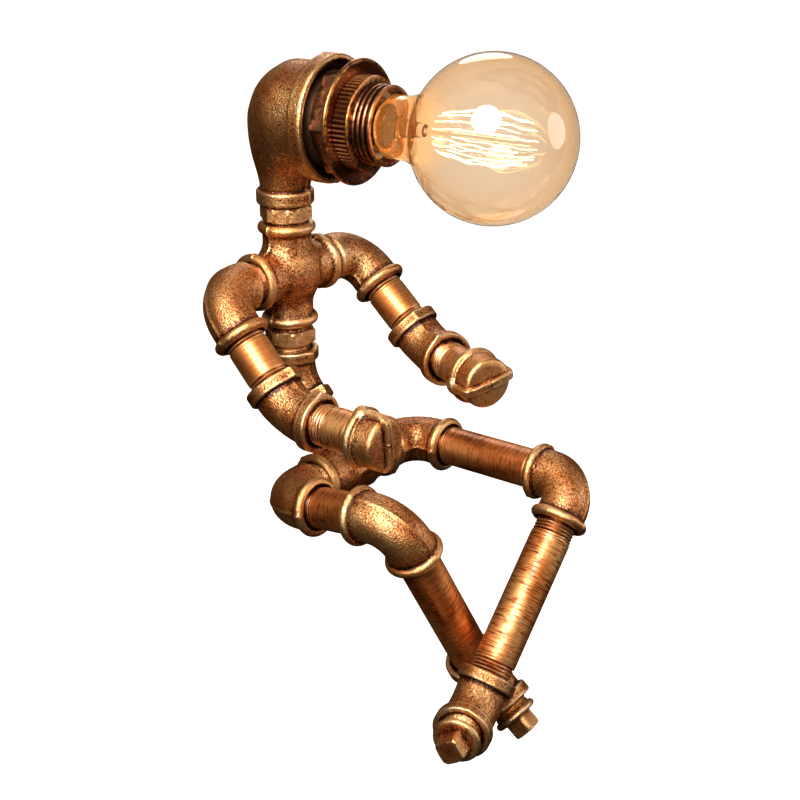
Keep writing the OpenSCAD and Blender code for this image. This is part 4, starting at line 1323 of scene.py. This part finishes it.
class LAMP_OT_nipples(bpy.types.Operator):
    """Make the hex nipples of the waist and neck"""
    bl_idname = "lamp.nipples"
    bl_label = "Hex nipples"

    def execute(self, context):
        places = Places(context.scene)
        fit, fig = places.fit, places.fig
        thread_r, bore_r, height = fit.thread_d / 2, fit.bore_d / 2, fit.hex_h
        for node, base, gap in (("waist_nipple", -fit.cross_face - fig.waist_gap, fig.waist_gap),
                                ("neck_nipple", fit.cross_face, fig.neck_gap)):
            beside = (gap - height) / 2
            reach = fit.engagement + beside
            count = max(int(reach / (fit.thread_pitch / 2)), 2)
            low, high = [threads(start, reach / count, count + 1, thread_r, fit.thread_depth)
                         for start in (-reach, height)]
            nipple = hexagon(node + "_turned", fit.hex_flats, 0, height, 1.0 * MM,
                             (0.4 * MM, 0.3 * MM, 0.15 * MM),
                             ([(-reach, bore_r)] + low, high + [(height + reach, bore_r)]),
                             places.chest @ shift(z=base + beside))
            put_on(nipple, node)
        return {"FINISHED"}


class LAMP_OT_hands_and_feet(bpy.types.Operator):
    """Make the hand caps and the square foot plugs"""
    bl_idname = "lamp.hands_and_feet"
    bl_label = "Hands and feet"

    def execute(self, context):
        places = Places(context.scene)
        fit, fig = places.fit, places.fig
        # Painted light: each cap and plug is made lighter or darker as a whole, as if lit more or
        # less
        for side, seed, cap_painted_light, plug_painted_light in (("right", 61, 0.05, 0.2375),
                                              ("left", 62, 0.25, -0.0125)):
            wrist = (places.forearm(side) @ shift(z=fit.angle_face + fig.forearm)
                     @ turn("Z", places.own(side, "cap_turn")))
            cap = hand_cap(f"{side}_cap_casting", fit, fig, wrist, seed)
            put_on(paint_light(cap, cap_painted_light), f"{side}_hand_cap")
            toe = places.ankle(side) @ turn("X", -ANGLE) @ shift(z=fit.angle_face)
            plug = foot_plug(f"{side}_plug_casting", fit, fig, toe)
            put_on(paint_light(plug, plug_painted_light), f"{side}_foot_plug")
        return {"FINISHED"}


class LAMP_OT_head(bpy.types.Operator):
    """Make the head elbow and its hexagonal bushing"""
    bl_idname = "lamp.head"
    bl_label = "Head"

    def execute(self, context):
        places = Places(context.scene)
        fit, head = places.fit, places.head
        put_on(head_casting("head_casting", fit, head, places.bulb_axis, 71), "head_elbow")
        thread_r, bore_r = head.big_thread_d / 2, head.holder_d / 2 + 0.05 * MM
        base, foot = BUSHING_GAP, -head.big_thread_l
        below = [(foot, bore_r), (foot, thread_r), (0.5 * MM, thread_r), (base, thread_r)]
        bushing = hexagon("bushing_turned", head.bushing_flats, base, head.bushing_h, 1.6 * MM,
                          (0.5 * MM, 0.6 * MM, 0.3 * MM),
                          (below, [(base + head.bushing_h, bore_r)]),
                          places.bulb_axis @ shift(z=head.reach))
        put_on(bushing, "head_bushing", "bushing_bronze")
        return {"FINISHED"}


class LAMP_OT_holder(bpy.types.Operator):
    """Make the lampholder's threaded shell and the ribbed shade ring"""
    bl_idname = "lamp.holder"
    bl_label = "Lampholder"

    def execute(self, context):
        places = Places(context.scene)
        self.shell(places, places.head)
        self.ring(places, places.head)
        return {"FINISHED"}

    def shell(self, places, head):
        """The shell, with a rope thread outside the bushing."""
        back, end = places.bushing_face, places.holder_face
        start, pitch = back - head.holder_in, head.holder_pitch
        crest, lip = head.holder_d / 2, 0.9 * MM
        root, bore = crest - 1.3 * MM, crest - 0.8 * MM - head.holder_wall
        outer = [(start, crest - 0.1 * MM), (back + 0.8 * MM, crest - 0.1 * MM)]
        at = back + 1.2 * MM
        while at + pitch < end - 2.4 * MM:
            outer += arc((at + pitch / 2, root), pitch * 0.46, 175, 5, 7)
            at += pitch
        outer += [(end - 2.4 * MM, root), (end - 2.2 * MM, crest - lip)]
        outer += arc((end - lip, crest - lip), lip, 120, 0, 6)
        rings = outside([(height, min(radius, crest)) for height, radius in outer])
        rings += inside([(end - 0.2 * MM, bore + 0.3 * MM), (end - 0.8 * MM, bore), (start, bore)])
        put_on(lathe("holder_turned", rings, places.bulb_axis, closed=True), "holder_shell",
               "holder_brass")

    def ring(self, places, head):
        """The flanged ring and the ribs of its collar."""
        back, front = places.bushing_face, places.bushing_face + head.ring_l
        flange, collar, rim = head.ring_d / 2, head.collar_d / 2, head.ring_t / 2
        inner, base_r = head.holder_d / 2 + 0.05 * MM, collar - head.rib_h
        rings = outside([(back + 0.2 * MM, inner), (back + 0.2 * MM, collar),
                         (back + 0.5 * MM, flange - 2 * rim)]
                        + arc((back + rim + 0.4 * MM, flange - rim), rim, 190, -10, 12)
                        + [(back + head.ring_t + 0.3 * MM, flange - 2.2 * rim),
                           (back + 2.2 * MM, collar + 1.8 * MM),
                           (back + 2.0 * MM, collar + 0.5 * MM), (back + 2.3 * MM, base_r),
                           (front - 1.2 * MM, base_r), (front - 0.9 * MM, collar - 0.2 * MM),
                           (front - 0.2 * MM, collar - 0.4 * MM), (front, collar - 0.9 * MM),
                           (front, inner)])
        put_on(lathe("ring_turned", rings, places.bulb_axis, closed=True), "shade_ring",
               "ring_bronze")
        ribs = grown("ring_ribs", ribs_tree(), {
            "Radius": base_r, "Height": head.rib_h * 0.95, "Width": 1.3 * MM,
            "Length": head.ring_l - 3.4 * MM, "Count": head.ribs,
            "Material": finish_named("ring_bronze")},
            places.bulb_axis @ shift(z=back + 2 * MM + (head.ring_l - 3.0 * MM) / 2))
        dress(ribs, "shade_ring", "ring_bronze")


class LAMP_OT_bulb(bpy.types.Operator):
    """Make the bulb's glass and its glowing filament"""
    bl_idname = "lamp.bulb"
    bl_label = "Bulb"

    def execute(self, context):
        places = Places(context.scene)
        bulb, base_top = places.bulb, places.base_top
        rings = outside(self.wall(bulb, 0, base_top))
        rings += inside(reversed(self.wall(bulb, bulb.wall, base_top)))
        glass = lathe("bulb_blown", rings, places.bulb_axis, corners=128, closed=True, sharp=80)
        put_on(glass, "bulb_glass", "amber_glass")
        cage = grown("filament_wires", filament_tree(), {
            "Radius": bulb.cage_d * 0.36, "Length": bulb.cage_l, "Waist": bulb.cage_d * 0.12,
            "Thickness": bulb.strand_d, "Count": bulb.strands,
            "Material": finish_named("glowing_wire")},
            places.bulb_axis @ shift(z=base_top + bulb.cage_from))
        put_on(cage, "bulb_filament", "glowing_wire")
        return {"FINISHED"}

    def wall(self, bulb, inset, base_top):
        """Outline (height, radius) of the blown glass from its base to its crown."""
        globe, neck = bulb.globe_d / 2 - inset, bulb.neck_d / 2 - inset
        seat = bulb.base_d / 2 - 1.6 * MM - inset
        flare = bulb.flare_r + inset
        middle = base_top + bulb.reach
        flare_r = neck + flare
        flare_h = middle - math.sqrt((globe + flare) ** 2 - flare_r ** 2)
        meet = math.degrees(math.atan2(flare_r, middle - flare_h))
        points = [(base_top - 2 * MM + inset, seat), (base_top + 0.3 * MM, seat),
                  (base_top + 1.5 * MM, seat + (neck - seat) * 0.55), (base_top + 3.5 * MM, neck)]
        points += arc((flare_h, flare_r), flare, -90, -meet, 14)
        return points + arc((middle, 0), globe, 180 - meet, 0.2, 60)[1:]


class LAMP_OT_plain_parts(bpy.types.Operator):
    """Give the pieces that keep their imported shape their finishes"""
    bl_idname = "lamp.plain_parts"
    bl_label = "Inner parts"

    finishes = {"holder_core": "ceramic", "centre_contact": "contact_brass",
                "bulb_base": "contact_brass", "bulb_stem": "clear_glass",
                "inlet_bush": "black_rubber", "body_lead": "black_rubber",
                "head_lead": "black_rubber"}

    def execute(self, context):
        for node, finish in self.finishes.items():
            piece = frame["nodes"][node]
            for slot in piece.material_slots:
                slot.material = finish_named(finish)
        return {"FINISHED"}


class LAMP_OT_stage(bpy.types.Operator):
    """Set up the pale floor, the soft lights and the camera"""
    bl_idname = "lamp.stage"
    bl_label = "Stage"

    def execute(self, context):
        scene = context.scene
        stage = scene.lamp_stage
        self.floor(scene, stage)
        self.camera(scene, stage)
        for name, place, size, power, tint in (
                ("key", (-0.80, -0.42, 0.85), 0.75, 25, (1.0, 0.97, 0.94)),
                ("side", (0.75, -1.0, 0.35), 0.7, 4.5, (1.0, 0.90, 0.88)),
                ("edge", (0.75, 0.55, 0.75), 0.5, 2, (1.0, 0.95, 0.90))):
            self.light(scene, name, place, size, power, tint)
        scene.world = self.studio()
        scene.view_settings.view_transform = "Standard"
        return {"FINISHED"}

    def studio(self):
        """A room that is pale overhead and dark below, in front of a white cloth."""
        world = bpy.data.worlds.new("studio")
        world.use_nodes = True
        make = TreeMaker(world.node_tree)
        height = make.split(make.out("ShaderNodeTexCoord", "Generated"))[2]
        room = make.ramp(height * 0.5 + 0.5, (0.0, (0.008, 0.003, 0.0015)),
                         (0.45, (0.014, 0.006, 0.003)), (0.62, (0.08, 0.046, 0.027)),
                         (1.0, (0.24, 0.19, 0.15)))
        path = make.add("ShaderNodeLightPath").outputs
        seen = make.math("MAXIMUM", path["Is Camera Ray"], path["Is Transmission Ray"])
        make.feed(make.tree.nodes["Background"], Color=make.mix("MIX", seen, room, grey(1.0)),
                  Strength=1.0)
        return world

    def floor(self, scene, stage):
        """A pale floor that curves up into a backdrop behind the figure."""
        place = shift(z=-stage.floor_z) @ turn("Z", stage.azimuth)
        bend, far, near, high, half = 0.8, 1.5, 1.6, 2.6, 3.0
        line = [(-near, 0.0), (far, 0.0)]
        line += [(far + bend * math.sin(a), bend * (1 - math.cos(a)))
                 for a in np.linspace(0, math.pi / 2, 24)[1:]]
        line.append((far + bend, high))
        points = [place @ Vector((s * half, out, up)) for out, up in line for s in (-1, 1)]
        mesh = bpy.data.meshes.new("backdrop")
        mesh.from_pydata(points, [], [(i, i + 1, i + 3, i + 2)
                                      for i in range(0, len(points) - 2, 2)])
        mesh.shade_smooth()
        backdrop = bpy.data.objects.new("backdrop", mesh)
        scene.collection.objects.link(backdrop)
        paper = plain_finish("paper", grey(0.93), grey(0.95), 0.9, 3.0)
        make = TreeMaker(paper.node_tree)
        make.feed(make.tree.nodes["Principled BSDF"], Emission_Color=grey(1.0),
                  Emission_Strength=0.88)
        wear_material(backdrop, paper)
        backdrop.visible_glossy = False
        backdrop.visible_diffuse = False

    def light(self, scene, name, place, size, power, tint):
        lamp = bpy.data.lights.new(name, "AREA")
        lamp.shape = "DISK"
        lamp.size = size
        lamp.energy = power
        lamp.color = tint
        holder = bpy.data.objects.new(name, lamp)
        holder.location = place
        direction = Vector((0, 0, 0.05)) - Vector(place)
        holder.rotation_euler = direction.to_track_quat("-Z", "Y").to_euler()
        holder.visible_camera = False
        scene.collection.objects.link(holder)

    def camera(self, scene, stage):
        data = bpy.data.cameras.new("camera")
        data.sensor_width = 36
        data.lens = stage.lens
        camera = bpy.data.objects.new("camera", data)
        camera.matrix_world = (shift(*stage.place) @ turn("Z", stage.azimuth)
                               @ turn("X", math.pi / 2 - stage.elevation)
                               @ turn("Z", stage.roll))
        scene.collection.objects.link(camera)
        scene.camera = camera


class LAMP_PT_panel(bpy.types.Panel):
    """Lists the steps that dress the lamp"""
    bl_idname = "LAMP_PT_panel"
    bl_label = "Figure Lamp"
    bl_space_type = "VIEW_3D"
    bl_region_type = "UI"
    bl_category = "Figure Lamp"

    def draw(self, context):
        for step in STEPS:
            self.layout.operator(step.bl_idname)


GROUPS = {"lamp_fittings": FittingSizes, "lamp_figure": FigureSizes, "lamp_head": HeadSizes,
          "lamp_bulb": BulbSizes, "lamp_finish": LampFinish, "lamp_stage": StageSettings}
STEPS = [LAMP_OT_stage, LAMP_OT_spine, LAMP_OT_elbows, LAMP_OT_pipes, LAMP_OT_nipples,
         LAMP_OT_hands_and_feet, LAMP_OT_head, LAMP_OT_holder, LAMP_OT_bulb,
         LAMP_OT_plain_parts]


def register():
    for group in GROUPS.values():
        bpy.utils.register_class(group)
    for name, group in GROUPS.items():
        setattr(bpy.types.Scene, name, PointerProperty(type=group))
    for step in STEPS + [LAMP_PT_panel]:
        bpy.utils.register_class(step)


def unregister():
    for step in [LAMP_PT_panel] + STEPS[::-1]:
        bpy.utils.unregister_class(step)
    for name, group in GROUPS.items():
        delattr(bpy.types.Scene, name)
        bpy.utils.unregister_class(group)


def main():
    register()
    for step in STEPS:
        family, name = step.bl_idname.split(".")
        getattr(getattr(bpy.ops, family), name)()


if __name__ == "__main__":
    main()
